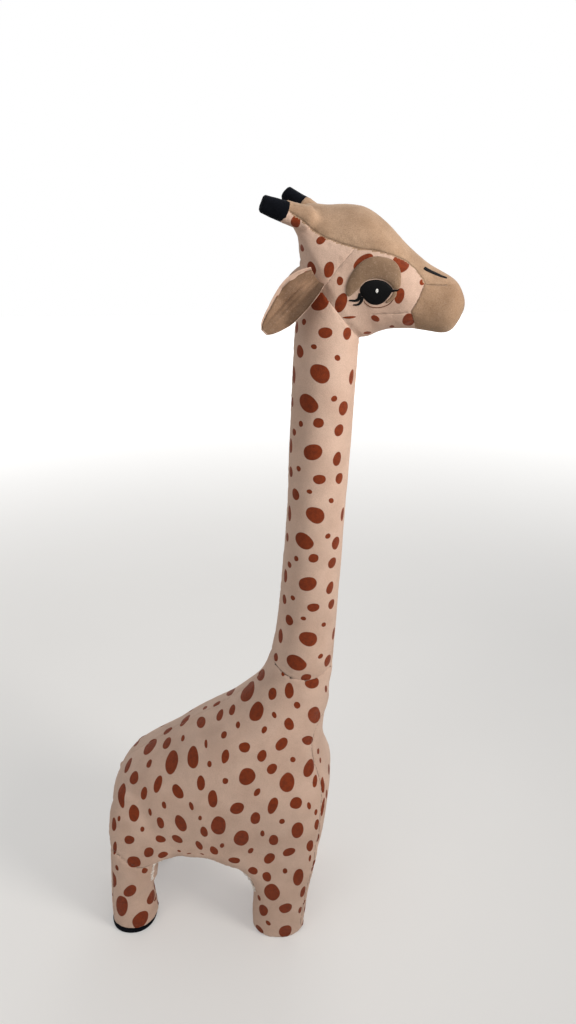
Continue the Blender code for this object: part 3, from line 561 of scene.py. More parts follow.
# Rings up a leg: height, outer end, arch end, outer y, inner y, squareness.
REAR_LEG_SHARES = (
    (0.00, -0.490, 0.430, 0.51, -0.48, 2.2),
    (0.06, -0.512, 0.450, 0.54, -0.50, 2.2),
    (0.15, -0.530, 0.445, 0.54, -0.50, 2.2),
    (0.40, -0.502, 0.405, 0.51, -0.49, 2.2),
    (0.54, -0.484, 0.500, 0.50, -0.495, 2.3),
    (0.70, -0.455, 0.560, 0.48, -0.50, 2.5),
    (0.82, -0.430, 0.610, 0.46, -0.60, 3.0),
    (0.92, -0.420, 0.880, 0.43, -0.76, 3.8),
    (1.00, -0.412, 1.250, 0.40, -0.95, 4.6),
)
FRONT_LEG_SHARES = (
    (0.00, 0.510, -0.560, 0.48, -0.48, 2.2),
    (0.06, 0.545, -0.595, 0.50, -0.50, 2.2),
    (0.15, 0.580, -0.600, 0.51, -0.50, 2.2),
    (0.45, 0.660, -0.560, 0.50, -0.49, 2.3),
    (0.64, 0.720, -0.620, 0.48, -0.50, 2.7),
    (0.78, 0.780, -0.830, 0.46, -0.60, 3.4),
    (0.90, 0.835, -1.240, 0.43, -0.76, 4.2),
    (1.00, 0.880, -1.740, 0.40, -0.95, 5.0),
)
# Rings of the leg's rounded head inside the body: rise, how far the end and the sides come in,
# and how much softer the corners are.
LEG_CROWN = (
    (0.015, -0.0012, 0.000, 0.5),
    (0.032, -0.0016, 0.001, 1.0),
    (0.062, 0.0016, 0.006, 1.6),
    (0.098, 0.0180, 0.018, 2.2),
)
TORSO_LOW, TORSO_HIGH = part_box("torso_cover")
LEG_TOP = TORSO_LOW.z
FOOT_TRACK = 2 * abs(box_middle("rear_right_sole").y)
HEM_Z = {REAR_FOOT_X: 0.0045, FRONT_FOOT_X: 0.0006}
REAR_HEM_RISE = 0.0065
RUMP_X = TORSO_HIGH.x - BODY_LENGTH
REAR_LEG_END = REAR_FOOT_X + 0.75 * FOOT_LENGTH

# The hips are smoothed further: fully beyond the second of these places aside or behind, and
# most at this height.
HIP_ASIDE = (0.080, 0.100)
HIP_BEHIND = (REAR_FOOT_X - 0.010, REAR_FOOT_X - 0.028)
HIP_Z = LEG_TOP + 0.012
HIP_REACH = 0.024
HIP_ROUNDS = 90

# The belly hangs lower where it meets the front of the rear legs.
ARCH_DROP = 0.0075
ARCH_X = REAR_FOOT_X + 0.048
ARCH_REACH = 0.018
ARCH_HEIGHT = 0.022


def face_normals(points, faces):
    corners = points[faces]
    across = np.cross(corners[:, 2] - corners[:, 0], corners[:, 3] - corners[:, 1])
    return across / np.maximum(np.linalg.norm(across, axis=1, keepdims=True), 1e-12)


def vertex_normals(points, faces):
    ways = face_normals(points, faces)
    total = np.zeros_like(points)
    for corner in range(faces.shape[1]):
        np.add.at(total, faces[:, corner], ways)
    return total / np.maximum(np.linalg.norm(total, axis=1, keepdims=True), 1e-12)


def outward(points, faces):
    """The faces, turned round as a whole if they look into the form."""
    middle = points.mean(axis=0)
    corners = points[faces]
    ways = np.cross(corners[:, 2] - corners[:, 0], corners[:, 3] - corners[:, 1])
    volume = ((corners.mean(axis=1) - middle) * ways).sum()
    return faces if volume > 0 else faces[:, ::-1].copy()


def as_lists(points, faces):
    return [tuple(p) for p in points], [tuple(int(c) for c in f) for f in faces]


def tree_of(points, faces):
    return BVHTree.FromPolygons(*as_lists(points, faces))


def seam_distance(points, seam):
    """Distance from each point to the nearest point of the seams, up to the seam's reach."""
    tree = KDTree(len(seam))
    for number, place in enumerate(seam):
        tree.insert(place, number)
    tree.balance()
    return np.array([min(tree.find(place)[2], SEAM_REACH) for place in points])


def lumps(points, size, seed):
    """Smooth noise between about -1 and 1 at each point."""
    offset = Vector((seed, seed * 0.7, seed * 1.3))
    return np.array([noise.noise(Vector(place) / size + offset) for place in points])


def hump(value, middle, reach):
    """One at the middle, and less and less on both sides of it."""
    return np.exp(-(((value - middle) / reach) ** 2))


def pushed(points, normals, amount):
    """Points moved out along their normals."""
    return points + normals * amount[:, None]


def swelling(points, swells):
    """How far stuffed cloth swells unevenly, from rows of size, seed and amount."""
    return sum(lumps(points, size, seed) * amount for size, seed, amount in swells)


def sew(points, normals, distance, depth=0.0015, width=0.0034, pucker=0.0010):
    """Cloth drawn in at its seams, with puckers beside them. Both sides of a seam stay together."""
    near = np.exp(-distance / (4 * width)) - hump(distance, 0.0, 0.7 * width)
    ripple = pucker * lumps(points, 0.006, 3.0) * np.clip(near, 0, 1)
    return pushed(points, normals, ripple - depth * hump(distance, 0.0, width))


def filled_mesh(name, points, faces):
    places, corners = as_lists(points, faces)
    mesh = bpy.data.meshes.new(name)
    mesh.from_pydata(places, [], corners)
    return mesh


def carry(mesh, name, values, kind="FLOAT", domain="POINT"):
    """Values that the mesh carries for the nodes, one for each point or face corner."""
    layer = mesh.attributes.new(name, kind, domain)
    field = "vector" if kind == "FLOAT_VECTOR" else "value"
    layer.data.foreach_set(field, np.asarray(values, np.float32).ravel())


def new_mesh(name, points, faces, material, printed=None, seam=None, smooth=True):
    mesh = filled_mesh(name, points, faces)
    mesh.materials.append(material)
    if printed is not None:
        carry(mesh, "Print", printed, "FLOAT_VECTOR", "CORNER")
    if seam is not None:
        carry(mesh, "Seam", seam)
    mesh.polygons.foreach_set("use_smooth", [smooth] * len(mesh.polygons))
    mesh.update()
    return in_scene(name, mesh)


def settle(piece, body, nodes=()):
    """Puts a finished piece on its body, in place of its CAD nodes."""
    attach(piece, body)
    if nodes:
        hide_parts(*nodes)
    return piece


def part_of(faces, chosen):
    """The points that the chosen faces use, and the faces renumbered to them."""
    picked = faces[chosen]
    used, renumbered = np.unique(picked, return_inverse=True)
    return used, renumbered.reshape(picked.shape)


def cut_panel(name, skin, chosen, finish, body, nodes):
    """The chosen faces of a skin as a panel. The skin is its points, faces, print and seams."""
    points, faces, printed, seam = skin
    used, own = part_of(faces, chosen)
    dots = printed[chosen] if finish is PRINTED else None
    settle(new_mesh(name, points[used], own, finish, dots, seam[used]), body, nodes)


def smooth_table(table, count):
    """Rows read evenly from a smooth curve through the table's rows."""
    rows = np.array(table, float)
    last = len(rows) - 1
    where = np.linspace(0, last, count)
    low = np.clip(where.astype(int), 0, last - 1)
    share = (where - low)[:, None]
    before, first = rows[np.maximum(low - 1, 0)], rows[low]
    second, after = rows[low + 1], rows[np.minimum(low + 2, last)]
    return 0.5 * (
        2 * first
        + (second - before) * share
        + (2 * before - 5 * first + 4 * second - after) * share ** 2
        + (3 * first - before - 3 * second + after) * share ** 3
    )


def oval(start, end, middle_y, half_width, squareness, start_squareness, angles):
    """Points of a ring that lies square to XZ, by angle from its start."""
    along, across = np.cos(angles), np.sin(angles)
    power = 2.0 / np.where(along > 0, start_squareness, squareness)
    along = np.sign(along) * np.abs(along) ** power
    across = np.sign(across) * np.abs(across) ** power
    start, end = np.asarray(start, float), np.asarray(end, float)
    middle, half = (start + end) / 2, (start - end) / 2
    x = middle[0] + half[0] * along
    z = middle[1] + half[1] * along
    return np.stack([x, middle_y + half_width * across, z], axis=1)


def ring_faces(rows, columns, wrap=True):
    """Four-cornered faces over a grid of points stored row by row."""
    row, column = np.meshgrid(
        np.arange(rows - 1), np.arange(columns if wrap else columns - 1), indexing="ij"
    )
    low, high = row * columns, (row + 1) * columns
    following = (column + 1) % columns
    quads = np.stack([low + column, low + following, high + following, high + column], axis=-1)
    return quads.reshape(-1, 4)


def body_rings():
    rings = []
    for rear_x, rear_z, front_x, front_z, width, square, behind in smooth_table(BODY_SHARES, 60):
        ends = [(RUMP_X + x * BODY_LENGTH, LEG_TOP + z * BODY_HEIGHT)
                for x, z in ((rear_x, rear_z), (front_x, front_z))]
        rings.append((*ends, 0.0, width * BODY_WIDTH / 2, square, behind))
    return rings


def leg_rings(table, foot_x, side):
    rings = []
    hem = HEM_Z[foot_x]
    for height, outer, arch, outer_y, inner_y, square in smooth_table(table, 40):
        z = hem + height * (LEG_TOP - hem)
        wide = (outer_y - inner_y) / 2 * FOOT_WIDTH
        middle_y = side * (FOOT_TRACK / 2 + (outer_y + inner_y) / 2 * FOOT_WIDTH)
        rings.append((
            (foot_x + outer * FOOT_LENGTH, z), (foot_x + arch * FOOT_LENGTH, z),
            middle_y, wide, square, square,
        ))
    (end_x, _), (arch_x, _), middle_y, wide, square, _ = rings[-1]
    outward_way = math.copysign(1.0, end_x - arch_x)
    for rise, along, beside_it, softer in LEG_CROWN:
        z = LEG_TOP + rise
        rings.append(((end_x - outward_way * along, z), (arch_x, z), middle_y, wide - beside_it,
                      square - softer, square - softer))
    return rings


def round_angles(sides):
    return np.linspace(0, 2 * math.pi, sides, endpoint=False)


def ovals(rings, sides):
    return [oval(*ring, round_angles(sides)) for ring in rings]


def join_lofts(lofts):
    """Closed lofts as one mesh. Each is a list of rings of points, capped at both ends."""
    points, faces = [], []
    for rings in lofts:
        start, sides = len(points), len(rings[0])
        for ring in rings:
            points += [tuple(place) for place in ring]
        faces += [tuple(int(c) + start for c in face) for face in ring_faces(len(rings), sides)]
        faces.append(tuple(range(start, start + sides)))
        faces.append(tuple(range(len(points) - sides, len(points))))
    return points, faces


def evaluated(made):
    """The object's mesh with its modifiers in it. The object itself is removed."""
    graph = bpy.context.evaluated_depsgraph_get()
    mesh = bpy.data.meshes.new_from_object(made.evaluated_get(graph))
    bpy.data.objects.remove(made, do_unlink=True)
    return mesh


def mesh_points(mesh):
    found = np.empty(len(mesh.vertices) * 3)
    mesh.vertices.foreach_get("co", found)
    return found.reshape(-1, 3)


def mesh_quads(mesh):
    return np.array([tuple(face.vertices) for face in mesh.polygons if len(face.vertices) == 4])


def edges_of(faces):
    pairs = np.concatenate([faces[:, [0, 1]], faces[:, [1, 2]], faces[:, [2, 3]], faces[:, [3, 0]]])
    return np.unique(np.sort(pairs, axis=1), axis=0)


def averaged(values, edges, count, share=1.0):
    """Each value moved towards the mean of its neighbours, count times."""
    links = np.bincount(edges.ravel(), minlength=len(values))
    links = np.maximum(links, 1).reshape((-1,) + (1,) * (values.ndim - 1))
    for _ in range(count):
        total = np.zeros_like(values)
        np.add.at(total, edges[:, 0], values[edges[:, 1]])
        np.add.at(total, edges[:, 1], values[edges[:, 0]])
        values = values + share * (total / links - values)
    return values


def smoothed(points, edges, rounds):
    """Smoothing that keeps the volume: each round draws in, then lets out."""
    for _ in range(rounds):
        points = averaged(points, edges, 1, 0.5)
        points = averaged(points, edges, 1, -0.53)
    return points


def fused_skin(lofts, voxel, rounds):
    """Overlapping lofts melted into one even skin of four-cornered faces, then smoothed."""
    made = in_scene("forms", filled_mesh("forms", *join_lofts(lofts)))
    remesh = made.modifiers.new("fuse", "REMESH")
    remesh.mode = "VOXEL"
    remesh.voxel_size = voxel
    mesh = evaluated(made)
    points = mesh_points(mesh)
    faces = outward(points, mesh_quads(mesh))
    edges = edges_of(faces)
    return smoothed(points, edges, rounds), faces, edges


def snapped(points, field, edges):
    """Points beside a line where the field is zero are moved onto it, so edges follow the seam."""
    first, second = edges[:, 0], edges[:, 1]
    crossing = field[first] * field[second] < 0
    first, second = first[crossing], second[crossing]
    share = field[first] / (field[first] - field[second])
    near_first = share < 0.5
    mover = np.where(near_first, first, second)
    towards = np.where(near_first, second, first)
    amount = np.where(near_first, share, 1 - share)
    order = np.argsort(-amount)
    moved, level = points.copy(), field.copy()
    moved[mover[order]] = (
        points[mover] + (points[towards] - points[mover]) * amount[:, None]
    )[order]
    level[mover] = 0.0
    return moved, level


def step_between(value, low, high):
    share = np.clip((value - low) / (high - low), 0, 1)
    return share * share * (3 - 2 * share)


TAIL_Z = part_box("tail")[1].z


def gusset_field(points, normals, edges):
    """Above zero on the side panels and below zero on the gusset under and between them."""
    x, y, z = points.T
    nx, ny, nz = averaged(normals, edges, 6, 0.5).T
    front_limit = GUSSET_TURN + 0.3 * step_between(z, LEG_TOP + 0.19, LEG_TOP + 0.29)
    rear_limit = GUSSET_TURN + 0.3 * step_between(z, LEG_TOP - 0.01, TAIL_Z)
    inner = np.where(z < LEG_TOP, 0.6 - ny * np.sign(y), 0.0)
    sides = (front_limit - nx * (x > FEET_X), rear_limit + nx * (x < FEET_X), GUSSET_TURN + nz,
             GUSSET_TURN - inner)
    return averaged(np.min(sides, axis=0), edges, 10, 0.5)


CUFF_LOW = 0.140
CUFF_RISE = 0.026
CUFF_LENGTH = 0.050
CUFF_START = 0.024


def cuff_field(points):
    """Zero along the seam where the lower part of a rear leg is sewn on, aslant."""
    x, _, z = points.T
    rise = CUFF_RISE * step_between(REAR_FOOT_X + CUFF_START - x, 0.0, CUFF_LENGTH)
    field = z - CUFF_LOW - rise
    return np.where(x < REAR_LEG_END, field, 1.0)


def subdivided(points, faces, fields):
    """One smooth subdivision, with values at the points carried along."""
    mesh = filled_mesh("skin", points, faces)
    for name, values in fields.items():
        carry(mesh, name, values)
    made = in_scene("skin", mesh)
    finer = made.modifiers.new("finer", "SUBSURF")
    finer.levels = finer.render_levels = 1
    mesh = evaluated(made)
    found = {}
    for name in fields:
        values = np.empty(len(mesh.vertices), np.float32)
        mesh.attributes[name].data.foreach_get("value", values)
        found[name] = values.astype(float)
    return mesh_points(mesh), mesh_quads(mesh), found


# The neck's foot is fused with the body and its top with the head, so the sizes and rings of
# neck and head come here.
HEAD_LENGTH = 0.240
HEAD_HEIGHT = 0.175
HEAD_WIDTH = 0.104
NECK_BASE_WIDTH = 0.101
NECK_TOP_WIDTH = 0.095
NECK_BOW = 0.008
NECK_ROWS = 250
NECK_SIDES = 132
NECK_BLEND = 13
NECK_OVERLAP = 16
FIRST_SPOT_Z = 0.966
NECK_TWIST = (-0.0037, 0.0296)

# Rings up the neck: the shares of the way up behind and in front, how far the back bows
# forwards, and the width.
NECK_SHARES = (
    (0.00, 0.00, 0.00, 1.00),
    (0.06, 0.10, 0.55, 0.99),
    (0.14, 0.20, 0.88, 0.99),
    (0.27, 0.34, 1.00, 0.99),
    (0.42, 0.52, 1.00, 0.99),
    (0.58, 0.68, 0.56, 0.99),
    (0.72, 0.82, 0.22, 0.99),
    (0.84, 0.92, 0.00, 0.99),
    (0.93, 0.97, 0.15, 0.99),
    (1.00, 1.00, 0.00, 1.00),
)
# Rings along the head: top x, top z, bottom x, bottom z, half width and squareness.
HEAD_SHARES = (
    (0.050, 0.600, 0.392, 0.000, 0.913, 2.0),
    (0.042, 0.757, 0.421, 0.006, 0.962, 2.0),
    (0.006, 0.895, 0.450, 0.017, 0.981, 2.0),
    (0.085, 0.988, 0.483, 0.040, 0.981, 2.1),
    (0.215, 0.983, 0.517, 0.057, 0.990, 2.2),
    (0.333, 0.983, 0.550, 0.069, 1.000, 2.2),
    (0.425, 0.954, 0.588, 0.074, 0.990, 2.2),
    (0.525, 0.858, 0.625, 0.074, 0.962, 2.2),
    (0.646, 0.690, 0.658, 0.074, 0.894, 2.2),
    (0.760, 0.560, 0.692, 0.074, 0.817, 2.2),
    (0.835, 0.500, 0.775, 0.057, 0.779, 2.3),
    (0.892, 0.456, 0.858, 0.040, 0.760, 2.3),
    (0.936, 0.408, 0.910, 0.060, 0.673, 2.3),
    (0.963, 0.340, 0.948, 0.127, 0.472, 2.2),
    (0.976, 0.288, 0.971, 0.194, 0.240, 2.0),
    (0.979, 0.248, 0.979, 0.238, 0.020, 2.0),
)
HEAD_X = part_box("muzzle_cover")[1].x - HEAD_LENGTH
HEAD_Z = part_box("forehead_panel")[1].z - 0.988 * HEAD_HEIGHT


def head_place(x_share, z_share):
    return np.array([HEAD_X + x_share * HEAD_LENGTH, HEAD_Z + z_share * HEAD_HEIGHT])


def neck_rings():
    base = body_rings()[-1]
    base_rear, base_front = np.array(base[0]), np.array(base[1])
    top_rear, top_front = head_place(*HEAD_SHARES[0][:2]), head_place(*HEAD_SHARES[0][2:4])
    rings = []
    for back, front, bow, width in smooth_table(NECK_SHARES, NECK_ROWS):
        rear = base_rear + (top_rear - base_rear) * back + np.array([bow * NECK_BOW, 0])
        ahead = base_front + (top_front - base_front) * front
        wide = NECK_BASE_WIDTH + (NECK_TOP_WIDTH - NECK_BASE_WIDTH) * back
        rings.append((rear, ahead, 0.0, width * wide / 2, 2.0, 2.0))
    return rings


NECK_DIP = 0.014
NECK_FLARE = 0.055


def neck_seam_field(points):
    """Height above the seam between neck and body, which dips on both sides."""
    x, y, z = points.T
    rear, front = (np.array(end) for end in body_rings()[-1][:2])
    level = rear[1] + (x - rear[0]) / (front[0] - rear[0]) * (front[1] - rear[1])
    return z - (level - NECK_DIP * np.minimum(1.0, (y / (NECK_BASE_WIDTH / 2)) ** 2))


# Spots of the right side panel as the photograph shows them: middle in pixels, half width and
# half height in fifths of a pixel or so, and a turn in degrees.
SIDE_UNIT = 5.407
SIDE_SPOTS = (
    (261, 675, 19, 34, 22), (283, 674, 10, 13, 0), (312, 683, 29, 38, 80),
    (289, 690.5, 25, 40, -3), (272, 694, 23, 34, 8), (248, 690.5, 26, 56, 27),
    (231, 691, 16, 30, 45), (326, 689, 6, 18, 0), (297, 705, 16, 19, -40), (256, 712, 36, 53, 22),
    (274, 715, 12, 18, -25), (315, 715, 31, 44, 8), (232, 710, 15, 30, 14),
    (220, 715, 17, 31, 20), (217, 704, 11, 22, 55), (205, 708, 7, 15, 60), (201, 722, 21, 27, 20),
    (185, 720, 17, 37, 38), (238, 725, 12, 17, 0), (289, 724, 26, 33, -15), (323, 724, 8, 32, 3),
    (168, 731, 13, 27, 42), (224, 735, 15, 20, 25), (264, 730, 14, 20, 28), (183, 738, 9, 17, 15),
    (308, 740, 22, 30, 80), (282, 744, 27, 36, 45), (245, 747, 27, 33, 85), (206, 744, 9, 22, -5),
    (167, 743, 17, 31, 30), (150, 746, 23, 48, 37), (262, 756, 25, 32, 28),
    (225, 756.5, 21, 37, 12), (293, 759.5, 14, 14, 0), (193, 757, 29, 57, -4),
    (172, 762, 34, 60, 8), (309, 768, 27, 45, 20), (209.5, 764, 12, 17, -5),
    (149, 764, 12, 22, 20), (272, 769, 23, 31, 48), (247, 776, 41, 48, 40),
    (128, 765, 11, 42, 22), (315, 781, 12, 32, 14), (323, 785, 12, 40, -3), (329, 769, 6, 28, 0),
    (134, 778, 22, 32, 8), (158, 784, 21, 43, 13), (201, 783.5, 21, 37, -6),
    (225.5, 781, 16, 16, 0), (287, 782, 42, 52, 10), (257, 792, 15, 22, 35),
    (144, 793, 18, 33, 3), (178, 792, 25, 42, -38), (121, 793.5, 20, 54, 10),
    (213, 799, 24, 46, -5), (296, 803, 28, 33, 75), (273, 806, 24, 45, 22),
    (309, 806, 11, 17, -12), (237, 808.5, 28, 39, 72), (164, 805, 11, 18, -20),
    (191.5, 806, 11, 23, -22), (134, 813, 29, 45, -4), (150, 812, 9, 18, -18),
    (316, 812, 8, 14, 10), (323, 808, 8, 45, 8), (255, 818.5, 27, 31, 20), (200, 818, 10, 12, 0),
    (119, 818.5, 8, 14, 0), (160.5, 823, 19, 29, -22), (181, 823, 26, 47, -34),
    (282, 821.5, 14, 17, 80), (317, 824, 13, 25, 14), (114, 825, 13, 33, -5),
    (218, 826, 41, 45, 10), (142.5, 829, 12, 13, 0), (204, 832, 20, 27, -28),
    (298, 830.5, 33, 39, 18), (262.5, 833.5, 13, 15, 0), (129, 840, 22, 28, -80),
    (160.5, 839, 18, 28, -70), (177, 839, 15, 34, -62), (241, 838.5, 34, 43, 52),
    (274, 840, 24, 28, 25), (310, 845, 17, 28, 12), (199, 845, 14, 25, -42),
    (222, 845.5, 10, 13, 60), (115, 848, 11, 32, 0), (149, 852, 24, 26, 60),
    (214, 850.5, 17, 26, -50), (251, 850.5, 12, 17, 50), (289, 852, 20, 33, 74),
    (163, 855, 15, 25, 80), (179, 851, 5, 10, -75), (269, 858, 24, 34, 60), (310, 858, 7, 16, 10),
    (234, 860.5, 15, 31, -85), (134, 862.5, 30, 39, -80), (117, 868, 8, 15, -20),
    (145, 871, 12, 16, 80), (253, 871, 18, 25, -80), (285, 871, 13, 14, 0),
    (298, 878, 29, 43, 15), (267, 877, 22, 26, -40), (113, 878, 9, 42, -6),
    (272, 892, 38, 43, -60), (303, 892, 13, 30, 14), (130, 891, 26, 35, 62),
    (152, 897, 18, 31, 15), (156, 888, 6, 14, 0), (259, 898, 7, 15, -25), (121, 906, 30, 50, -10),
    (263, 910, 21, 29, -35), (286, 908, 22, 36, 75), (300, 910, 8, 17, 25),
    (141, 920, 34, 46, 40), (268, 923, 10, 15, -55), (285, 931, 26, 38, 65),
    (259, 930, 15, 27, -40), (115, 922, 11, 21, -30), (318.2, 751.2, 6, 15, 5),
    (320.2, 760.4, 5, 14, 0), (326.7, 794, 4, 20, 5), (189, 853.5, 3, 12, 85),
    (202, 854, 3, 10, -75), (318, 838, 5, 18, 14), (156, 897, 4, 20, 10), (251, 905, 4, 16, 0),
)


def leg_cloth(points):
    """Flat places on the gusset: the chest, rump and belly as they lie, and each leg unrolled."""
    x, y, z = points.T
    foot = np.where(x > FEET_X, FRONT_FOOT_X, REAR_FOOT_X)
    heading = np.where(x > FEET_X, 1.0, -1.0)
    leg_y = np.sign(y) * FOOT_TRACK / 2
    turn = np.arctan2(y - leg_y, heading * (x - foot))
    flat = np.stack([leg_y + turn * FOOT_WIDTH / 2, z], axis=1)
    upper = z > LEG_TOP - 0.008
    flat[upper] = np.stack([y, z], axis=1)[upper]
    return flat


def body_form():
    """The stuffed form of torso and legs, with the neck's foot on it, as one closed skin."""
    lofts = [ovals(body_rings() + neck_rings()[1:NECK_OVERLAP], LOFT_SIDES)]
    for table, foot_x in ((REAR_LEG_SHARES, REAR_FOOT_X), (FRONT_LEG_SHARES, FRONT_FOOT_X)):
        lofts += [ovals(leg_rings(table, foot_x, side), LOFT_SIDES) for side in (-1, 1)]
    points, faces, edges = fused_skin(lofts, SKIN_VOXEL, SKIN_ROUNDS)
    outside = np.maximum(step_between(np.abs(points[:, 1]), *HIP_ASIDE),
                         step_between(points[:, 0], *HIP_BEHIND))
    hip = outside * hump(points[:, 2], HIP_Z, HIP_REACH)
    points += (smoothed(points, edges, HIP_ROUNDS) - points) * hip[:, None]
    corner = hump(points[:, 0], ARCH_X, ARCH_REACH)
    points[:, 2] -= ARCH_DROP * corner * hump(points[:, 2], LEG_TOP, ARCH_HEIGHT)
    return points, faces, edges


def body_seams(points, faces, edges):
    """The form without its neck, with points on the seams. Each field is zero on its seam."""
    points, top = snapped(points, neck_seam_field(points), edges)
    used, faces = part_of(faces, top[faces].mean(axis=1) < 0)
    points, edges = points[used], edges_of(faces)
    gusset = gusset_field(points, vertex_normals(points, faces), edges)
    points, gusset = snapped(points, gusset, edges)
    back = np.where(gusset > 0, points[:, 1], np.sign(points[:, 1]) + (points[:, 1] == 0))
    points, back = snapped(points, back, edges)
    points, cuff = snapped(points, cuff_field(points), edges)
    top = neck_seam_field(points)
    top[np.abs(top) < NECK_SEAM_NEAR] = 0
    return subdivided(points, faces, {"gusset": gusset, "back": back, "cuff": cuff, "top": top})


def sewn_body(points, faces, fields):
    """The cloth drawn in at its seams and swelling between them, and its distance to them."""
    rim, neck_seam = np.abs(fields["gusset"]) < RIM_NEAR, np.abs(fields["top"]) < NECK_SEAM_NEAR
    spine = (np.abs(fields["back"]) < SEAM_NEAR) & (fields["gusset"] > 0) & ~neck_seam
    plain = (rim | (np.abs(fields["cuff"]) < SEAM_NEAR)) & ~neck_seam & ~spine
    seams = ((plain, 0.0), (neck_seam, NECK_SEAM_EASE), (spine, SPINE_SEAM_EASE))
    distance = np.min([seam_distance(points, points[line]) + ease for line, ease in seams], axis=0)
    normals = vertex_normals(points, faces)
    fold = 0.2 + np.clip(-averaged(normals, edges_of(faces), 4, 0.5)[:, 2] * 2.0, 0, 0.8)
    ridge = RIDGE * fold * hump(seam_distance(points, points[rim]), 0.0, RIDGE_REACH)
    points = pushed(points, normals, ridge)
    points[:, 2] -= 1.1 * ridge * (points[:, 2] > LEG_TOP - 0.05)
    points = sew(points, normals, distance)
    swell = swelling(points, BODY_SWELLS)
    swell *= step_between(distance, 0.0, 0.025) * step_between(points[:, 2], 0.004, 0.03)
    points = pushed(points, normals, swell)
    rise = REAR_HEM_RISE * step_between(points[:, 0], REAR_FOOT_X - 0.045, REAR_FOOT_X - 0.020)
    hem = np.where(points[:, 0] < FEET_X, HEM_Z[REAR_FOOT_X] + rise, HEM_Z[FRONT_FOOT_X])
    points[:, 2] = np.maximum(points[:, 2], hem)
    return points, distance


def make_body():
    points, faces, edges = body_form()
    form = tree_of(points, faces)
    points, faces, fields = body_seams(points, faces, edges)
    points, distance = sewn_body(points, faces, fields)

    tree = tree_of(points, faces)
    ways = face_normals(points, faces)
    middle = points[faces].mean(axis=1)
    right = middle[:, 1] < 0
    under = fields["gusset"][faces].mean(axis=1) < 0
    lower = (fields["cuff"][faces].mean(axis=1) < 0) & (middle[:, 0] < REAR_LEG_END)
    wrap = np.abs(points[:, 1]) * (1 - 2 * step_between(points[:, 0], REAR_FOOT_X, FRONT_FOOT_X))
    flat_side = np.stack([-points[:, 0] - wrap, points[:, 2] - np.abs(points[:, 1])], axis=1)
    printed = printed_by_repeat(flat_side[faces], (0.03, 0.02))
    printed[under] = printed_by_repeat(leg_cloth(points)[faces], (0.012, 0.05))[under]
    frames = spot_frames(tree, SIDE_SPOTS, SIDE_UNIT)
    front, high = under & (ways[:, 0] > 0.2), middle[:, 2] > LEG_TOP
    lay_seen_print(printed, points, faces, ways, frames, lambda facing, inside: (
        (~under & (facing | inside)) | (front & (inside | (facing & high)))))

    for name, chosen, nodes in (
        ("body_right_side", ~under & right & ~lower,
         ["torso_cover", "torso_filling", "front_right_leg_cover", "front_right_leg_filling"]),
        ("body_left_side", ~under & ~right & ~lower,
         ["front_left_leg_cover", "front_left_leg_filling"]),
        ("body_gusset", under & ~lower, []),
        ("rear_right_lower_leg", lower & right, ["rear_right_leg_cover", "rear_right_leg_filling"]),
        ("rear_left_lower_leg", lower & ~right, ["rear_left_leg_cover", "rear_left_leg_filling"]),
    ):
        skin = (points, faces, printed, distance)
        cut_panel(name, skin, chosen, PRINTED, "toy", nodes)
    return tree, form


BODY_TREE, BODY_FORM = make_body()


# Head. Printed cheeks, jaw and back; a brushed tan forehead that runs down to the nose, and
# a muzzle of the same tan, darkened with painted shade. The seams lie where the photograph
# shows them, alike on both sides.
HEAD_VOXEL = 0.0021
HEAD_ROUNDS = 9
HEAD_SIDES = 128
HEAD_SWELLS = ((0.030, 4.0, 0.0007),)
SEAM_STEP = 0.001
TAN = (187, 155, 127)
TAN_DEEP = (170, 138, 110)
# The muzzle is the forehead's tan darkened with painted shade.
SHADED_MUZZLE_TAN = (176, 143, 114)
SHADED_MUZZLE_DEEP = (158, 126, 98)
TAN_FLECK = (128, 97, 71)
# The lids and the wedges beside the eyes are a greyer tan, darkened with painted shade.
LID_SHADED_TINT = (150, 122, 97)
LID_SHADED_DEEP = (134, 107, 83)
# The ear lining is the tan darkened with painted shade, for the shadow inside the cupped ear.
LINING_SHADED_TINT = (146, 115, 90)
LINING_SHADED_DEEP = (112, 84, 62)

# Seams in pixels of the photograph, as it shows them on the right side of the head.
FOREHEAD_SEAM = (
    (290.5, 211.3), (301, 219), (312, 229), (325.7, 237), (344, 244), (359.4, 248),
    (374.7, 249.6), (393, 254), (406.8, 260), (416, 268), (423.7, 278.7), (426, 284),
    (436, 284.4), (448, 284.2), (459, 284),
)
MUZZLE_SEAM = ((425.2, 283), (419, 298.6), (411, 312), (414.5, 324))
BACK_SEAM = ((354.8, 248.8), (338, 268), (326, 285))
JAW_SEAM = ((337, 317.7), (371.6, 314.7), (409, 313))

# Spots of the head in pixels: middle, half width, half height and turn in degrees.
HEAD_SPOTS = (
    (295.9, 222.6, 4.8, 5.8, 0), (320.9, 240.2, 5.0, 4.0, -25), (302.1, 248.1, 2.0, 3.3, -10),
    (297.8, 259.6, 1.2, 4.0, 20), (310.9, 268.9, 4.3, 6.7, -15), (328.6, 270.0, 5.4, 8.3, 10),
    (340.0, 280.8, 3.1, 4.1, 0), (340.8, 303.2, 5.6, 9.2, 22), (362.6, 262.2, 10.5, 5.4, -36),
    (401.2, 262.8, 8.2, 8.0, 30), (422.2, 282.4, 2.9, 2.8, 0), (398.9, 295.8, 4.9, 7.8, 8),
    (349.6, 317.5, 6.5, 1.3, 0), (375.1, 318.6, 4.4, 2.9, 30), (391.9, 326.6, 2.6, 1.2, 0),
    (409.4, 320.5, 6.2, 6.4, 0), (367.5, 333.0, 4.0, 1.6, 0),
)


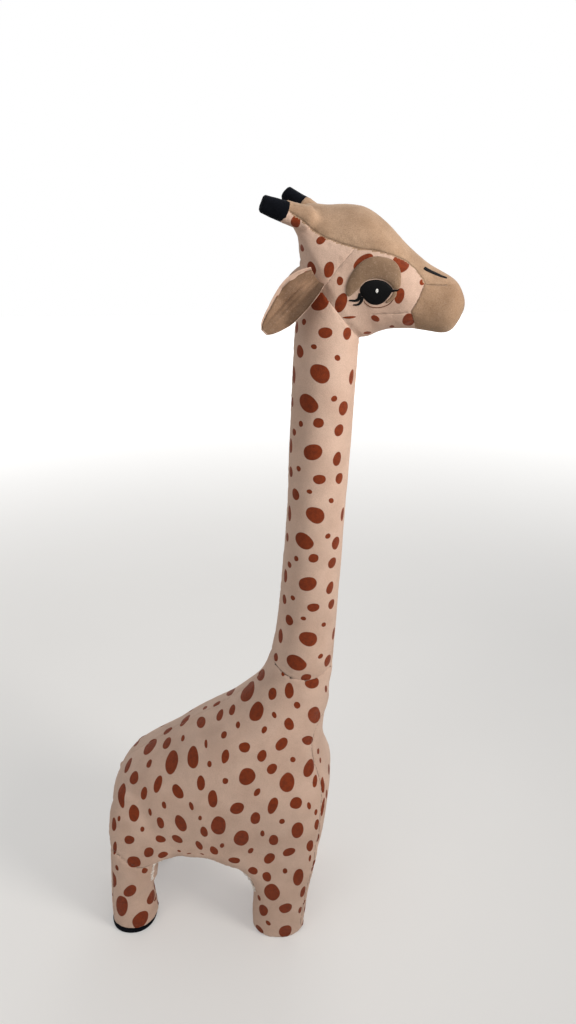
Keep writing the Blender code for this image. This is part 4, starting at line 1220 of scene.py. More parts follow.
def make_tan_cloth(name, tint, deep):
    made, tree, shader, place = new_material(name)
    nap = use_group(tree, NAP, Place=place, Loop_Size=0.0010, Fuzz=0.9)
    blotch = remap(tree, speckle(tree, place, 0.03, 3.0), 0.3, 0.7)
    colour = blend_colours(tree, blotch, linear(tint), linear(deep))
    for size, low, high, most, fleck in (
        (0.0022, 0.50, 0.72, 0.50, TAN_FLECK), (0.0027, 0.52, 0.75, 0.32, CREAM),
    ):
        share = remap(tree, speckle(tree, place, size, 3.0, 0.8), low, high, 0.0, most)
        colour = blend_colours(tree, share, colour, linear(fleck))
    folds = speckle(tree, place, 0.012, 2.0)
    finish_cloth(tree, shader, place, colour, nap, 0.45, folds, 0.92, (0.30, 0.5, (255, 232, 208)),
                 (0.0010, 0.6))
    return made


TAN_CLOTH = make_tan_cloth("tan_brushed_cloth", TAN, TAN_DEEP)
# The muzzle cloth is the tan darkened with painted shade.
SHADED_MUZZLE_CLOTH = make_tan_cloth("shaded_muzzle_cloth", SHADED_MUZZLE_TAN, SHADED_MUZZLE_DEEP)
# The lid cloth is a greyer tan darkened with painted shade.
LID_SHADED_CLOTH = make_tan_cloth("lid_cloth", LID_SHADED_TINT, LID_SHADED_DEEP)
# The lining cloth is the tan darkened with painted shade.
LINING_SHADED_CLOTH = make_tan_cloth("ear_lining_shaded_cloth", LINING_SHADED_TINT, LINING_SHADED_DEEP)


def beside(points, line):
    """Signed distance from points to a line in side view, above zero on its left."""
    places = points[:, [0, 2]]
    best = np.full(len(places), np.inf)
    result = np.zeros(len(places))
    last = len(line) - 2
    for number in range(last + 1):
        start, way = line[number], line[number + 1] - line[number]
        share = ((places - start) @ way) / (way @ way)
        low = -9.0 if number == 0 else 0.0
        high = 9.0 if number == last else 1.0
        gap = places - (start + np.clip(share, low, high)[:, None] * way)
        reach = np.hypot(gap[:, 0], gap[:, 1])
        closer = reach < best
        side = np.sign(way[0] * gap[:, 1] - way[1] * gap[:, 0])
        best[closer] = reach[closer]
        result[closer] = (reach * side)[closer]
    return result


def seam_in_side_view(tree, pixels):
    """A seam as X and Z places, from its pixels in the photograph."""
    places = (tree.ray_cast(CAMERA_PLACE, picture_ray(pixel))[0] for pixel in pixels)
    return np.array([(place.x, place.z) for place in places if place is not None])


def seen_from_side(tree, x, z, side):
    """The place on the head's side that is met straight from that side, and its normal."""
    return tree.ray_cast(Vector((x, side * HEAD_WIDTH, z)), Vector((0, -side, 0)))[:2]


def seam_points(line, tree):
    """Places on both sides of the head along a seam given in side view."""
    found = []
    for start, end in zip(line[:-1], line[1:]):
        count = max(2, int(np.hypot(*(end - start)) / SEAM_STEP))
        for share in np.linspace(0, 1, count, endpoint=False):
            x, z = start + (end - start) * share
            found += [seen_from_side(tree, x, z, side)[0] for side in (-1, 1)]
    return [place for place in found if place is not None]


STEM_DIAMETER = 0.027
STEM_LENGTH = 0.018
STEM_ROOT = 0.030
STEM_FLARE = 0.5
STEM_END = 0.004
HORN_SPLAY = 12.0
HORN_SIDE_SHARE = 0.62
HORNS = (("right", -1, (0.055, 0.905), 19.0), ("left", 1, (0.128, 0.912), 36.0))


def horn_line(side, place_shares, rise):
    """Where a horn starts on the crown, and its way out."""
    x, z = head_place(*place_shares)
    lean, splay = math.radians(rise), math.radians(HORN_SPLAY)
    way = Vector((-math.cos(lean) * math.cos(splay), side * math.sin(splay), math.sin(lean)))
    return Vector((x, side * HORN_SIDE_SHARE * HEAD_WIDTH / 2, z)), way.normalized()


def turned_rings(start, direction, profile, sides):
    """Rings round an axis. Each profile row is a place along it and a radius."""
    across = direction.cross(Vector((0, 0, 1))).normalized()
    over = across.cross(direction).normalized()
    angles = round_angles(sides)[:, None]
    ring = np.cos(angles) * np.array(over) + np.sin(angles) * np.array(across)
    return [np.array(start + direction * place) + ring * radius for place, radius in profile]


def stem_rings(side, place_shares, rise):
    """A stem that widens into the crown and is narrow again at its root inside the head."""
    start, way = horn_line(side, place_shares, rise)
    profile = []
    for share in np.linspace(0, 1, 24):
        place = -STEM_ROOT + (STEM_ROOT + STEM_LENGTH + STEM_END) * share
        widening = 1 + STEM_FLARE * (1 - share) ** 2
        profile.append((place, STEM_DIAMETER / 2 * widening * min(1.0, 0.30 + 2.0 * share)))
    return turned_rings(start, way, profile, 64)


def head_rings():
    rings = []
    for top_x, top_z, low_x, low_z, width, square in smooth_table(HEAD_SHARES, 110):
        top, low = head_place(top_x, top_z), head_place(low_x, low_z)
        rings.append((top, low, 0.0, max(width, 0.02) * HEAD_WIDTH / 2, square, square))
    return rings


# The crown is smoothed further, from the first of these places to the second and beyond it.
CROWN_START, CROWN_FULL = head_place(0.03, 0.70), head_place(0.08, 0.84)
CROWN_ROUNDS = 160


def head_form():
    """The stuffed form of the head, with the neck's top and the horns' stems, as one skin."""
    lofts = [ovals(neck_rings()[-NECK_OVERLAP:-1] + head_rings(), HEAD_SIDES)]
    lofts += [stem_rings(*horn[1:]) for horn in HORNS]
    points, faces, edges = fused_skin(lofts, HEAD_VOXEL, HEAD_ROUNDS)
    crown = step_between(points[:, 2], CROWN_START[1], CROWN_FULL[1])
    crown = crown * step_between(points[:, 0], CROWN_START[0], CROWN_FULL[0])
    points += (smoothed(points, edges, CROWN_ROUNDS) - points) * crown[:, None]
    return points, faces, edges


def make_head():
    points, faces, edges = head_form()
    whole = tree_of(points, faces)
    top, low = head_place(*HEAD_SHARES[0][:2]), head_place(*HEAD_SHARES[0][2:4])
    points, level = snapped(points, beside(points, np.array([low, top])), edges)
    used, faces = part_of(faces, level[faces].mean(axis=1) < 0)
    points, level, edges = points[used], level[used], edges_of(faces)
    form = tree_of(points, faces)
    brow, nose, nape, jaw = (
        seam_in_side_view(form, seam) for seam in (FOREHEAD_SEAM, MUZZLE_SEAM, BACK_SEAM, JAW_SEAM))

    points, above = snapped(points, beside(points, brow), edges)
    ahead = beside(points, nose)
    points, ahead = snapped(points, np.where(above < 0, ahead, 1.0), edges)
    cheek = (above < 0) & (ahead < 0)
    front = beside(points, nape)
    points, front = snapped(points, np.where(cheek, front, 1.0), edges)
    under = beside(points, jaw)
    points, _ = snapped(points, np.where(cheek & (front > 0), under, 1.0), edges)

    form = tree_of(points, faces)
    neck_line = points[np.abs(level) < SEAM_NEAR]
    deep = np.minimum(seam_distance(points, seam_points(brow, form) + seam_points(nose, form)),
                      seam_distance(points, neck_line) + NECK_SEAM_EASE)
    fine = seam_distance(points, seam_points(nape, form) + seam_points(jaw, form))
    normals = vertex_normals(points, faces)
    points = sew(points, normals, deep)
    points = sew(points, normals, fine, 0.0006, 0.0022, 0.0005)
    seam = np.minimum(deep, fine + 0.0006)
    swell = swelling(points, HEAD_SWELLS) + (0.0016 * step_between(deep, 0.0, 0.016) - 0.0008)
    points = pushed(points, normals, swell * step_between(deep, 0.0, 0.01))

    ways = face_normals(points, faces)
    flat_side = np.stack([points[:, 0], points[:, 2] + np.abs(points[:, 1])], axis=1)
    printed = printed_by_repeat(flat_side[faces], (0.015, 0.035))
    tree = tree_of(points, faces)
    frames = spot_frames(tree, HEAD_SPOTS, 1.0)
    lay_seen_print(printed, points, faces, ways, frames, lambda facing, inside: facing | inside)

    forehead = above[faces].mean(axis=1) > 0
    muzzle = (ahead[faces].mean(axis=1) > 0) & ~forehead
    for name, chosen, finish, slot, nodes in (
        ("head_printed_panels", ~forehead & ~muzzle, PRINTED, "printed_cloth",
         ["head_cover", "head_filling", "right_horn_stem", "left_horn_stem"]),
        ("forehead", forehead, TAN_CLOTH, "tan_cloth", ["forehead_panel"]),
        ("muzzle", muzzle, SHADED_MUZZLE_CLOTH, "tan_cloth", ["muzzle_cover"]),
    ):
        cut_panel(name, (points, faces, printed, seam), chosen, finish, "toy", nodes)
    return tree, whole


HEAD_TREE, HEAD_FORM = make_head()


# Neck. One long printed sleeve, stuffed hard round a plastic tube that keeps it upright.
# It is sewn to the body and, aslant, to the back of the head.
NECK_SWELLS = ((0.045, 2.0, 0.0010), (0.100, 7.0, 0.0012))
NECK_FLARE_HEIGHT = 0.055
FLAP_RISE = 0.004
FLAP_SHARE = 0.95

# Spots in a column behind, which the photograph doesn't show: the first above the sleeve's foot,
# the last below its top, their spacing, their place aside and their least half width.
BACK_SPOT_FIRST = 0.03
BACK_SPOT_LAST = 0.01
BACK_SPOT_STEP = 0.037
BACK_SPOT_ASIDE = 0.017
BACK_SPOT_WIDTH = 0.0044


def back_spots(tree, low, high):
    """Spots of mixed places, sizes and turns between two heights, laid on from behind."""
    frames = []
    ahead = Vector((1, 0, 0))
    levels = np.arange(low + BACK_SPOT_FIRST, high - BACK_SPOT_LAST, BACK_SPOT_STEP)
    for number, z in enumerate(levels):
        aside = BACK_SPOT_ASIDE + 0.005 * math.sin(2.4 * number)
        half_width = BACK_SPOT_WIDTH + 0.0026 * abs(math.sin(1.7 * number))
        half_height = half_width * (1.25 + 0.2 * math.sin(2.9 * number))
        place, normal, _, _ = tree.ray_cast(Vector((-1.0, aside, z)), ahead)
        if place is None:
            continue
        normal = -normal if normal.dot(ahead) > 0 else normal
        first = normal.cross(Vector((0, 0, 1))).normalized()
        shape = np.diag([1 / half_width, 1 / half_height]) @ leaning(26 * math.sin(3.1 * number))
        frames.append(laid_spot(place, first, normal, shape))
    return frames


def make_neck():
    rows = np.stack(ovals(neck_rings(), NECK_SIDES))
    base_z = rows[0, :, 2].mean()
    fade = 1 - step_between(rows[:, :, 2], base_z, base_z + NECK_FLARE_HEIGHT)
    bulge = np.minimum(1.0, (rows[0, :, 1] / (NECK_BASE_WIDTH / 2)) ** 2)[None, :]
    rows[:, :, 2] -= NECK_DIP * bulge * fade
    rows[:, :, 1] *= 1 + NECK_FLARE * bulge * fade
    points = rows.reshape(-1, 3)
    steps = np.repeat(np.arange(NECK_ROWS), NECK_SIDES)
    for form, count in ((BODY_FORM, steps), (HEAD_FORM, NECK_ROWS - 1 - steps)):
        for number in np.nonzero(count < NECK_BLEND)[0]:
            place = Vector(points[number])
            share = step_between(count[number], NECK_BLEND, 0)
            points[number] = place.lerp(form.find_nearest(place)[0], float(share))
    faces = outward(points, ring_faces(NECK_ROWS, NECK_SIDES))
    last = (NECK_ROWS - 1) * NECK_SIDES
    back_line = np.arange(NECK_ROWS) * NECK_SIDES
    ends = np.concatenate([points[:NECK_SIDES], points[last:]])
    distance = np.minimum(seam_distance(points, points[back_line]),
                          seam_distance(points, ends) + NECK_SEAM_EASE)
    normals = vertex_normals(points, faces)
    points = sew(points, normals, distance)
    swell = swelling(points, NECK_SWELLS) * step_between(distance, 0.0, 0.02)
    points = pushed(points, normals, swell)

    across = (np.append(round_angles(NECK_SIDES), 2 * math.pi) - 1.5 * math.pi) * NECK_RADIUS
    column = faces % NECK_SIDES
    wrapped = column.max(axis=1) - column.min(axis=1) > 1
    column = np.where(wrapped[:, None] & (column == 0), NECK_SIDES, column)
    height = points[faces][:, :, 2]
    twist = NECK_TWIST[0] + (FIRST_SPOT_Z - height) * NECK_TWIST[1]
    printed = printed_by_repeat(np.stack([across[column] + twist, height - FIRST_SPOT_Z], axis=2))
    frames = back_spots(tree_of(points, faces), base_z, points[last:, 2].min())
    seen, _, inside = seen_print(points, faces, face_normals(points, faces), frames)
    printed[inside] = seen[inside]

    flaps = []
    for row, rise in ((points[:NECK_SIDES], -FLAP_RISE), (points[last:], FLAP_RISE)):
        inner = row.mean(axis=0) + (row - row.mean(axis=0)) * FLAP_SHARE
        flaps.append(inner + np.array([0, 0, rise]))
    low, high = len(points), len(points) + NECK_SIDES
    ring, after = np.arange(NECK_SIDES), (np.arange(NECK_SIDES) + 1) % NECK_SIDES
    flap_faces = np.concatenate([
        np.stack([low + ring, low + after, after, ring], axis=1),
        np.stack([last + ring, last + after, high + after, high + ring], axis=1),
    ])
    if (faces[0] != ring_faces(2, NECK_SIDES)[0]).any():
        flap_faces = flap_faces[:, ::-1]
    points = np.concatenate([points, *flaps])
    faces = np.concatenate([faces, flap_faces])
    printed = np.concatenate([printed, np.full((len(flap_faces), 4, 3), FAR_PRINT)])
    distance = np.concatenate([distance, np.full(2 * NECK_SIDES, NECK_SEAM_EASE)])
    piece = new_mesh("neck_sleeve", points, faces, PRINTED, printed, distance)
    settle(piece, "toy", ["neck_cover", "neck_filling", "neck_core"])


make_neck()


# Face. Satin-stitched black eyes with a white glint, padded lids over them of a greyer tan
# darkened with painted shade, thread lashes, a thin sewn rim below and two nostril slits.
# The left side mirrors the right.
BLACK = (5, 5, 6)
WHITE = (236, 234, 228)
RIM = (112, 74, 54)
TUCK = 0.0006
CURVE_STEPS = 40
THREAD_POINTS = 40

# Outlines in pixels of the photograph.
EYE_OUTLINE = (
    (359.6, 288.5), (361.6, 285.4), (365.2, 282.0), (370.4, 280.0), (377.5, 279.4), (384.2, 281.0),
    (389.6, 284.8), (393.0, 289.2), (391.4, 293.4), (388.2, 297.8), (384.0, 302.4), (378.2, 305.0),
    (371.6, 304.6), (366.2, 301.2), (362.0, 296.4), (359.8, 292.4),
)
GLINT_OUTLINE = ((375.2, 291.0), (376.2, 288.6), (378.0, 288.8), (378.2, 291.2), (377.0, 293.0))
LID_INNER = (
    (348.4, 296.9), (351.8, 295.3), (355.4, 292.2), (359.6, 288.6), (361.8, 285.2), (365.4, 281.8),
    (370.4, 279.8), (377.5, 279.2), (384.2, 280.8), (389.8, 284.4), (393.2, 288.6), (397.4, 290.6),
)
LID_OUTER = (
    (346.2, 295.0), (345.6, 290.2), (346.6, 283.6), (350.2, 275.0), (356.2, 266.0), (364.4, 259.4),
    (373.6, 256.2), (383.2, 256.2), (392.6, 259.4), (398.6, 265.4), (401.2, 274.6), (400.6, 287.0),
)
LOWER_RIM = (
    (363.4, 300.6), (366.4, 304.2), (370.8, 306.8), (376.6, 307.6), (383.2, 306.8), (389.2, 304.0),
    (393.2, 299.6), (394.6, 295.0),
)
WEDGE_INNER = ((393.6, 289.4), (392.2, 293.2), (389.2, 297.6), (385.0, 301.8))
WEDGE_OUTER = ((397.4, 291.4), (396.6, 296.0), (392.6, 301.0), (386.0, 304.0))
LASHES = (
    ("rear_lash", ((360.4, 293.2), (359.0, 298.2), (356.0, 300.6), (348.6, 300.4)), 2.1),
    ("low_lash", ((362.0, 296.4), (361.4, 300.8), (358.4, 304.4), (352.8, 305.0)), 1.9),
    ("front_lash", ((389.0, 290.6), (392.6, 290.8), (396.0, 290.6), (399.4, 289.6)), 1.7),
)
NOSTRIL = ((423.7, 267.4), (428.4, 270.4), (434.4, 273.2), (441.0, 276.0), (447.4, 278.2))


def make_thread(name, tint, roughness, sheen_tint):
    made, tree, shader, place = new_material(name)
    stretch = {"Vector": place, "Scale": (1.0, 1.0, 5.0)}
    stretched = add(tree, "ShaderNodeMapping", stretch, vector_type="POINT").outputs["Vector"]
    strands = speckle(tree, stretched, 0.0021, 2.0, 0.6)
    even = speckle(tree, place, 0.004, 2.0)
    colour = shade(tree, linear(tint), remap(tree, strands, 0.3, 0.7, 0.7, 1.25),
                   remap(tree, even, 0.3, 0.7, 0.85, 1.1))
    set_surface(tree, shader, colour, roughness, (0.03, 0.4, sheen_tint), 0.12)
    bump(tree, shader, strands, 0.0006, 0.6)
    return made


BLACK_THREAD = make_thread("black_thread", BLACK, 0.62, (170, 175, 190))
WHITE_THREAD = make_thread("white_thread", WHITE, 0.6, (255, 255, 255))
RIM_THREAD = make_thread("brown_thread", RIM, 0.75, (230, 200, 170))


def curve_through(places, count, closed=False):
    """Points spread evenly along a smooth curve through the places."""
    rows = np.array(places, float)
    if closed:
        rows = np.concatenate([rows[-2:], rows, rows[:3]])
    table = smooth_table(rows, CURVE_STEPS * len(rows))
    if closed:
        step = CURVE_STEPS * len(rows) / (len(rows) - 1)
        table = table[int(2 * step):int((len(rows) - 3) * step) + 1]
    run = np.concatenate([[0], np.cumsum(np.linalg.norm(np.diff(table, axis=0), axis=1))])
    where = np.linspace(0, run[-1], count, endpoint=not closed)
    return np.stack([np.interp(where, run, column) for column in table.T], axis=1)


def lay_on_head(pixels, heights):
    """Places over the head's right side: each on its pixel's ray, raised by its height."""
    found = []
    for pixel, height in zip(pixels, heights):
        place, normal, _, _ = HEAD_TREE.ray_cast(CAMERA_PLACE, picture_ray(pixel))
        if place is None:
            place, normal, _, _ = HEAD_TREE.find_nearest(Vector(found[-1]))
        if normal.dot(CAMERA_AHEAD) > 0:
            normal = -normal
        found.append(np.array(place + normal * height))
    return np.array(found)


def cap_faces(start, count):
    """Four-cornered faces that close a ring of points, laid across it like rungs."""
    half = count // 2
    return [
        (start + i, start + i + 1, start + (count - i - 1) % count, start + (count - i) % count)
        for i in range(half)
        if i + 1 < count - i - 1
    ]


def patch(name, grid, heights, finish, nodes, wrap=False):
    """A patch sewn on the right side of the head, and its mirror on the left side."""
    rows, columns = heights.shape
    points = lay_on_head(grid.reshape(-1, 2), heights.ravel())
    faces = ring_faces(rows, columns, wrap)
    if wrap:
        faces = np.concatenate([faces, cap_faces((rows - 1) * columns, columns)])
    ways = face_normals(points, faces)
    if ways.mean(axis=0) @ np.array(CAMERA_AHEAD) > 0:
        faces = faces[:, ::-1]
    border = points[:columns] if wrap else np.concatenate([points[:columns], points[-columns:]])
    # The distance to the border lets painted shade darken the patch's edge, as at a seam.
    distance = seam_distance(points, border)
    mirrored = points * MIRRORS[0]
    for side, places, corners in (("right", points, faces), ("left", mirrored, faces[:, ::-1])):
        piece = new_mesh(f"{side}_sewn_{name}", places, corners, finish, seam=distance)
        settle(piece, "toy", [f"{side}_{node}" for node in nodes])


def oval_patch(name, outline, height, finish, nodes, lift=0.0, rings=12, columns=72):
    """A domed patch inside a closed outline."""
    edge = curve_through(outline, columns, closed=True)
    middle = edge.mean(axis=0)
    shares = np.linspace(1.0, 0.04, rings)
    grid = np.stack([middle + (edge - middle) * share for share in shares])
    dome = height * np.sqrt(1 - shares ** 2)[:, None] + lift
    dome = np.repeat(dome, columns, axis=1)
    dome[0] -= TUCK
    patch(name, grid, dome, finish, nodes, wrap=True)


def strip_patch(name, inner, outer, height, finish, nodes, rows=12, columns=90, lift=0.0):
    """A rounded patch between two lines."""
    first, second = curve_through(inner, columns), curve_through(outer, columns)
    shares = np.linspace(0, 1, rows)
    grid = np.stack([first + (second - first) * share for share in shares])
    ends = np.sqrt(np.clip(np.sin(np.linspace(0, math.pi, columns)), 0, 1))
    dome = height * np.sqrt(np.sin(shares * math.pi).clip(0, 1))[:, None]
    dome = dome * np.minimum(1, 1.6 * ends) + lift
    for border in (dome[0], dome[-1], dome[:, 0], dome[:, -1]):
        border -= TUCK
    patch(name, grid, dome, finish, nodes)


def thread_line(name, line, half_width, height, finish, nodes, lift=0.0, taper=0.3):
    """A line of satin stitches that thins towards its end."""
    middle = curve_through(line, THREAD_POINTS)
    way = np.gradient(middle, axis=0)
    way /= np.linalg.norm(way, axis=1, keepdims=True)
    across = np.stack([-way[:, 1], way[:, 0]], axis=1)
    share = np.linspace(0, 1, THREAD_POINTS)
    half = half_width * (1 - (1 - taper) * share ** 1.5)[:, None]
    strip_patch(name, middle - across * half, middle + across * half, height, finish, nodes,
                rows=7, columns=THREAD_POINTS, lift=lift)


# The lid and the wedge use the greyer tan darkened with painted shade.
strip_patch("eyelid", LID_INNER, LID_OUTER, 0.0038, LID_SHADED_CLOTH, ["eyelid"], rows=16)
oval_patch("eye", EYE_OUTLINE, 0.0016, BLACK_THREAD, ["eye"], lift=0.0004)
oval_patch("eye_glint", GLINT_OUTLINE, 0.0004, WHITE_THREAD, ["eye_highlight"],
           lift=0.0022, rings=5, columns=24)
strip_patch("eye_wedge", WEDGE_INNER, WEDGE_OUTER, 0.0008, LID_SHADED_CLOTH, [], rows=6,
            columns=24)
thread_line("lower_rim", LOWER_RIM, 0.5, 0.0007, RIM_THREAD, ["lower_rim"], taper=1.0)
for lash, line, half_width in LASHES:
    thread_line(lash, line, half_width, 0.0009, BLACK_THREAD, [lash], lift=0.0003)
thread_line("nostril", NOSTRIL, 2.1, 0.0008, BLACK_THREAD, ["nostril"], taper=0.45)


# Horns. The stems are part of the head's skin: tan in front, printed behind. Each has a black
# felt cap sewn over its end. The right one leans back and the left one stands steeper.
CAP_LENGTH = 0.034
CAP_END_DIAMETER = {"right": 0.0215, "left": 0.0190}
FELT = (9, 11, 17)


def make_felt():
    made, tree, shader, place = new_material("black_felt")
    nap = use_group(tree, NAP, Place=place, Loop_Size=0.0009, Fuzz=1.4)
    worn = remap(tree, speckle(tree, place, 0.012, 3.0), 0.3, 0.7, 0.8, 1.25)
    colour = shade(tree, linear(FELT), nap["Shade"], worn)
    set_surface(tree, shader, colour, 0.95, (0.03, 0.5, (120, 135, 170)), 0.1)
    bump(tree, shader, nap["Height"], 0.0009, 0.7)
    return made


BLACK_FELT = make_felt()


def closed_rings(rows):
    """Points and faces of stacked rings, closed at both ends."""
    points, sides = np.concatenate(rows), len(rows[0])
    first = np.array(cap_faces(0, sides))[:, ::-1]
    last = cap_faces(len(points) - sides, sides)
    return points, outward(points, np.concatenate([ring_faces(len(rows), sides), first, last]))


def lumpy(points, faces, swell):
    """Stuffed cloth swelling unevenly, from its size, seed and amount."""
    return pushed(points, vertex_normals(points, faces), swelling(points, [swell]))


def make_horn_cap(name, side, place_shares, rise):
    base, way = horn_line(side, place_shares, rise)
    radius, end = STEM_DIAMETER / 2, CAP_END_DIAMETER[name] / 2
    start, length = STEM_LENGTH - 0.001, STEM_LENGTH + CAP_LENGTH
    cap = [(start + 0.002, radius * 0.7), (start, radius - 0.0008),
           (start + 0.0006, radius + 0.0004)]
    for share in np.linspace(0.06, 1.0, 16):
        place = start + (length - 0.003 - start) * share
        cap.append((place, radius + 0.0006 + (end - radius) * share))
    cap += [(length - 0.0015, end - 0.0004), (length - 0.0004, end - 0.0018),
            (length, end - 0.0040), (length + 0.0003, end * 0.5), (length + 0.0004, end * 0.1)]
    points, faces = closed_rings(turned_rings(base, way, cap, 64))
    points = lumpy(points, faces, (0.011, 31.0 + side, 0.0009))
    piece = new_mesh(f"{name}_horn_cap", points, faces, BLACK_FELT)
    settle(piece, "toy", [f"{name}_horn_tip"])


for horn in HORNS:
    make_horn_cap(*horn)


# Ears. Leaf-shaped and lightly stuffed: printed cloth behind, which rolls over the rear edge,
# and tan lining in front, darkened with painted shade. Each is sewn to the head along its root
# and hangs out and down.
EAR_LENGTH = 0.0995
EAR_WIDTH = 0.053
EAR_THICKNESS = 0.0046
EAR_CUP = 0.019
EAR_ROLL = 0.84
EAR_CREASE = 0.0042
EAR_DROP = 40.0
EAR_SPLAY = 24.0
EAR_SEAT = 0.0021
EAR_ROWS = 60
EAR_SIDES = 96

# Places on the head in shares of its size, and places across the ear in shares of its half
# width, from its rear edge at -1 to its front edge at 1.
EAR_BACK_ROOT = (0.120, 0.512)
EAR_FRONT_ROOT = (0.200, 0.392)
EAR_CURL_AT = -0.50
# Painted shade runs down the lining's fold, at the place below.
EAR_SHADED_FOLD_AT = -0.48
EAR_FRONT_EDGE = 0.96

# Rings along the ear: place, and how far it reaches to the rear and to the front.
EAR_EDGE_SHARES = (
    (0.00, 0.27, 0.27),
    (0.18, 0.38, 0.36),
    (0.40, 0.44, 0.41),
    (0.60, 0.41, 0.38),
    (0.80, 0.33, 0.28),
    (0.93, 0.24, 0.17),
    (1.00, 0.12, 0.07),
)


def ear_frame(side):
    """Middle of the ear's root, then the ways along the ear, along its root and out of it."""
    roots = []
    for shares in (EAR_BACK_ROOT, EAR_FRONT_ROOT):
        place, normal = seen_from_side(HEAD_TREE, *head_place(*shares), side)
        roots.append(place + (normal if normal.y * side > 0 else -normal) * EAR_SEAT)
    across = (roots[1] - roots[0]).normalized()
    drop, splay = math.radians(EAR_DROP), math.radians(EAR_SPLAY)
    along = Vector((-math.cos(drop) * math.cos(splay), side * math.sin(splay), -math.sin(drop)))
    along.normalize()
    out = along.cross(across).normalized()
    if out.y * side < 0:
        out = -out
    return (roots[0] + roots[1]) / 2, along, across, out


def ear_ring(place, back, front, angles):
    """A ring round the ear at a share of its length: how far along its width and out of it."""
    share = np.cos(angles)
    width = np.where(share > 0, front, back) * EAR_WIDTH
    fold = math.sin(math.pi * min(1.0, place + 0.25)) if place < 0.75 else 0.0
    fold = max(fold, 0.35 * (1 - place))
    curl = np.clip(EAR_CURL_AT - share, 0, 1) ** 1.3 * 0.022
    curl = curl * math.sin(math.pi * min(1, place * 0.9 + 0.1))
    crease = hump(share, -0.46, 0.13) - 0.6 * hump(share, 0.05, 0.10)
    crease = crease * EAR_CREASE * math.sin(math.pi * min(1, place + 0.12))
    cup = EAR_CUP * np.abs(share) ** 1.8 * fold + curl - crease
    thick = EAR_THICKNESS / 2 * (0.5 + 0.5 * math.sin(math.pi * min(0.5, 0.1 + place)))
    thick *= min(1.0, 0.5 + 3 * (1 - place))
    out = EAR_THICKNESS / 2 + cup + thick * np.sin(angles) * (1 + 0.25 * np.abs(share))
    return width * share, out


def make_ear(name, side):
    root, along, across, out = (np.array(way) for way in ear_frame(side))
    square = across - along * (across @ along)
    square /= np.linalg.norm(square)
    angles = round_angles(EAR_SIDES)
    rows, reach = [], []
    for place, back, front in smooth_table(EAR_EDGE_SHARES, EAR_ROWS):
        place = min(max(place, 0.0), 1.0)
        level = min(1.0, place / 0.18)
        sideways = across * (1 - level) + square * level
        sideways /= np.linalg.norm(sideways)
        wide, lift = ear_ring(place, back, front, angles)
        rows.append(root + along * EAR_LENGTH * place + wide[:, None] * sideways
                    + lift[:, None] * out)
        reach.append(np.stack([np.cos(angles), np.sin(angles), np.full(EAR_SIDES, place)], axis=1))
    points, faces = closed_rings(rows)
    reach = np.concatenate(reach)
    normals = vertex_normals(points, faces)
    inner_edge = np.where(reach[:, 0] < 0, -EAR_ROLL, EAR_FRONT_EDGE)
    edge = np.abs(reach[:, 0] - inner_edge) * EAR_WIDTH / 2
    # The lining's fold is given a seam distance, so painted shade darkens along it as along the
    # edges.
    fold = np.abs(reach[:, 0] - EAR_SHADED_FOLD_AT) * EAR_WIDTH / 2 + 0.0011
    fold = fold + 0.004 * np.abs(reach[:, 2] - 0.45)
    edge = np.where(reach[:, 1] > -0.1, np.minimum(edge, fold), 0.02)
    edge = np.maximum(edge, 0.02 * step_between(np.abs(reach[:, 0]), 0.97, 1.0))
    points = pushed(points, normals, swelling(points, [(0.016, 51.0 + side, 0.0006)]))
    points = pushed(points, normals, -0.0009 * hump(edge, 0.0, 0.0022))
    middle = reach[faces].mean(axis=1)
    lining = (middle[:, 1] > 0) & (middle[:, 2] < 0.985)
    lining &= (middle[:, 0] > -EAR_ROLL) & (middle[:, 0] < EAR_FRONT_EDGE)
    flat = np.stack([reach[:, 0] * EAR_WIDTH / 2, -reach[:, 2] * EAR_LENGTH], axis=1)
    printed = printed_by_repeat(flat[faces], (0.034 * side, 0.045))
    printed[~lining & (middle[:, 1] > -0.45)] = FAR_PRINT
    for part, chosen, finish, slot, node in (
        ("lining", lining, LINING_SHADED_CLOTH, "tan_cloth", "ear_lining"),
        ("back", ~lining, PRINTED, "printed_cloth", "ear_back"),
    ):
        cut_panel(f"{name}_ear_{part}_cloth", (points, faces, printed, edge), chosen, finish,
                  f"{name}_ear", [f"{name}_{node}"])


make_ear("right", -1)
make_ear("left", 1)


# Tail. A thin stuffed tube of the printed cloth that hangs down the rump, with a dark tuft.
TAIL_RADIUS = 0.006
TUFT_SHARES = (
    (0.00, 0.34), (0.06, 0.50), (0.18, 0.76), (0.45, 1.00), (0.75, 0.80), (0.93, 0.42),
    (1.00, 0.06),
)
TAIL_ROWS = 70
TAIL_SIDES = 40
TAIL_LOW, TAIL_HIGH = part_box("tail")
TUFT_LOW, TUFT_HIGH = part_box("tail_tuft")


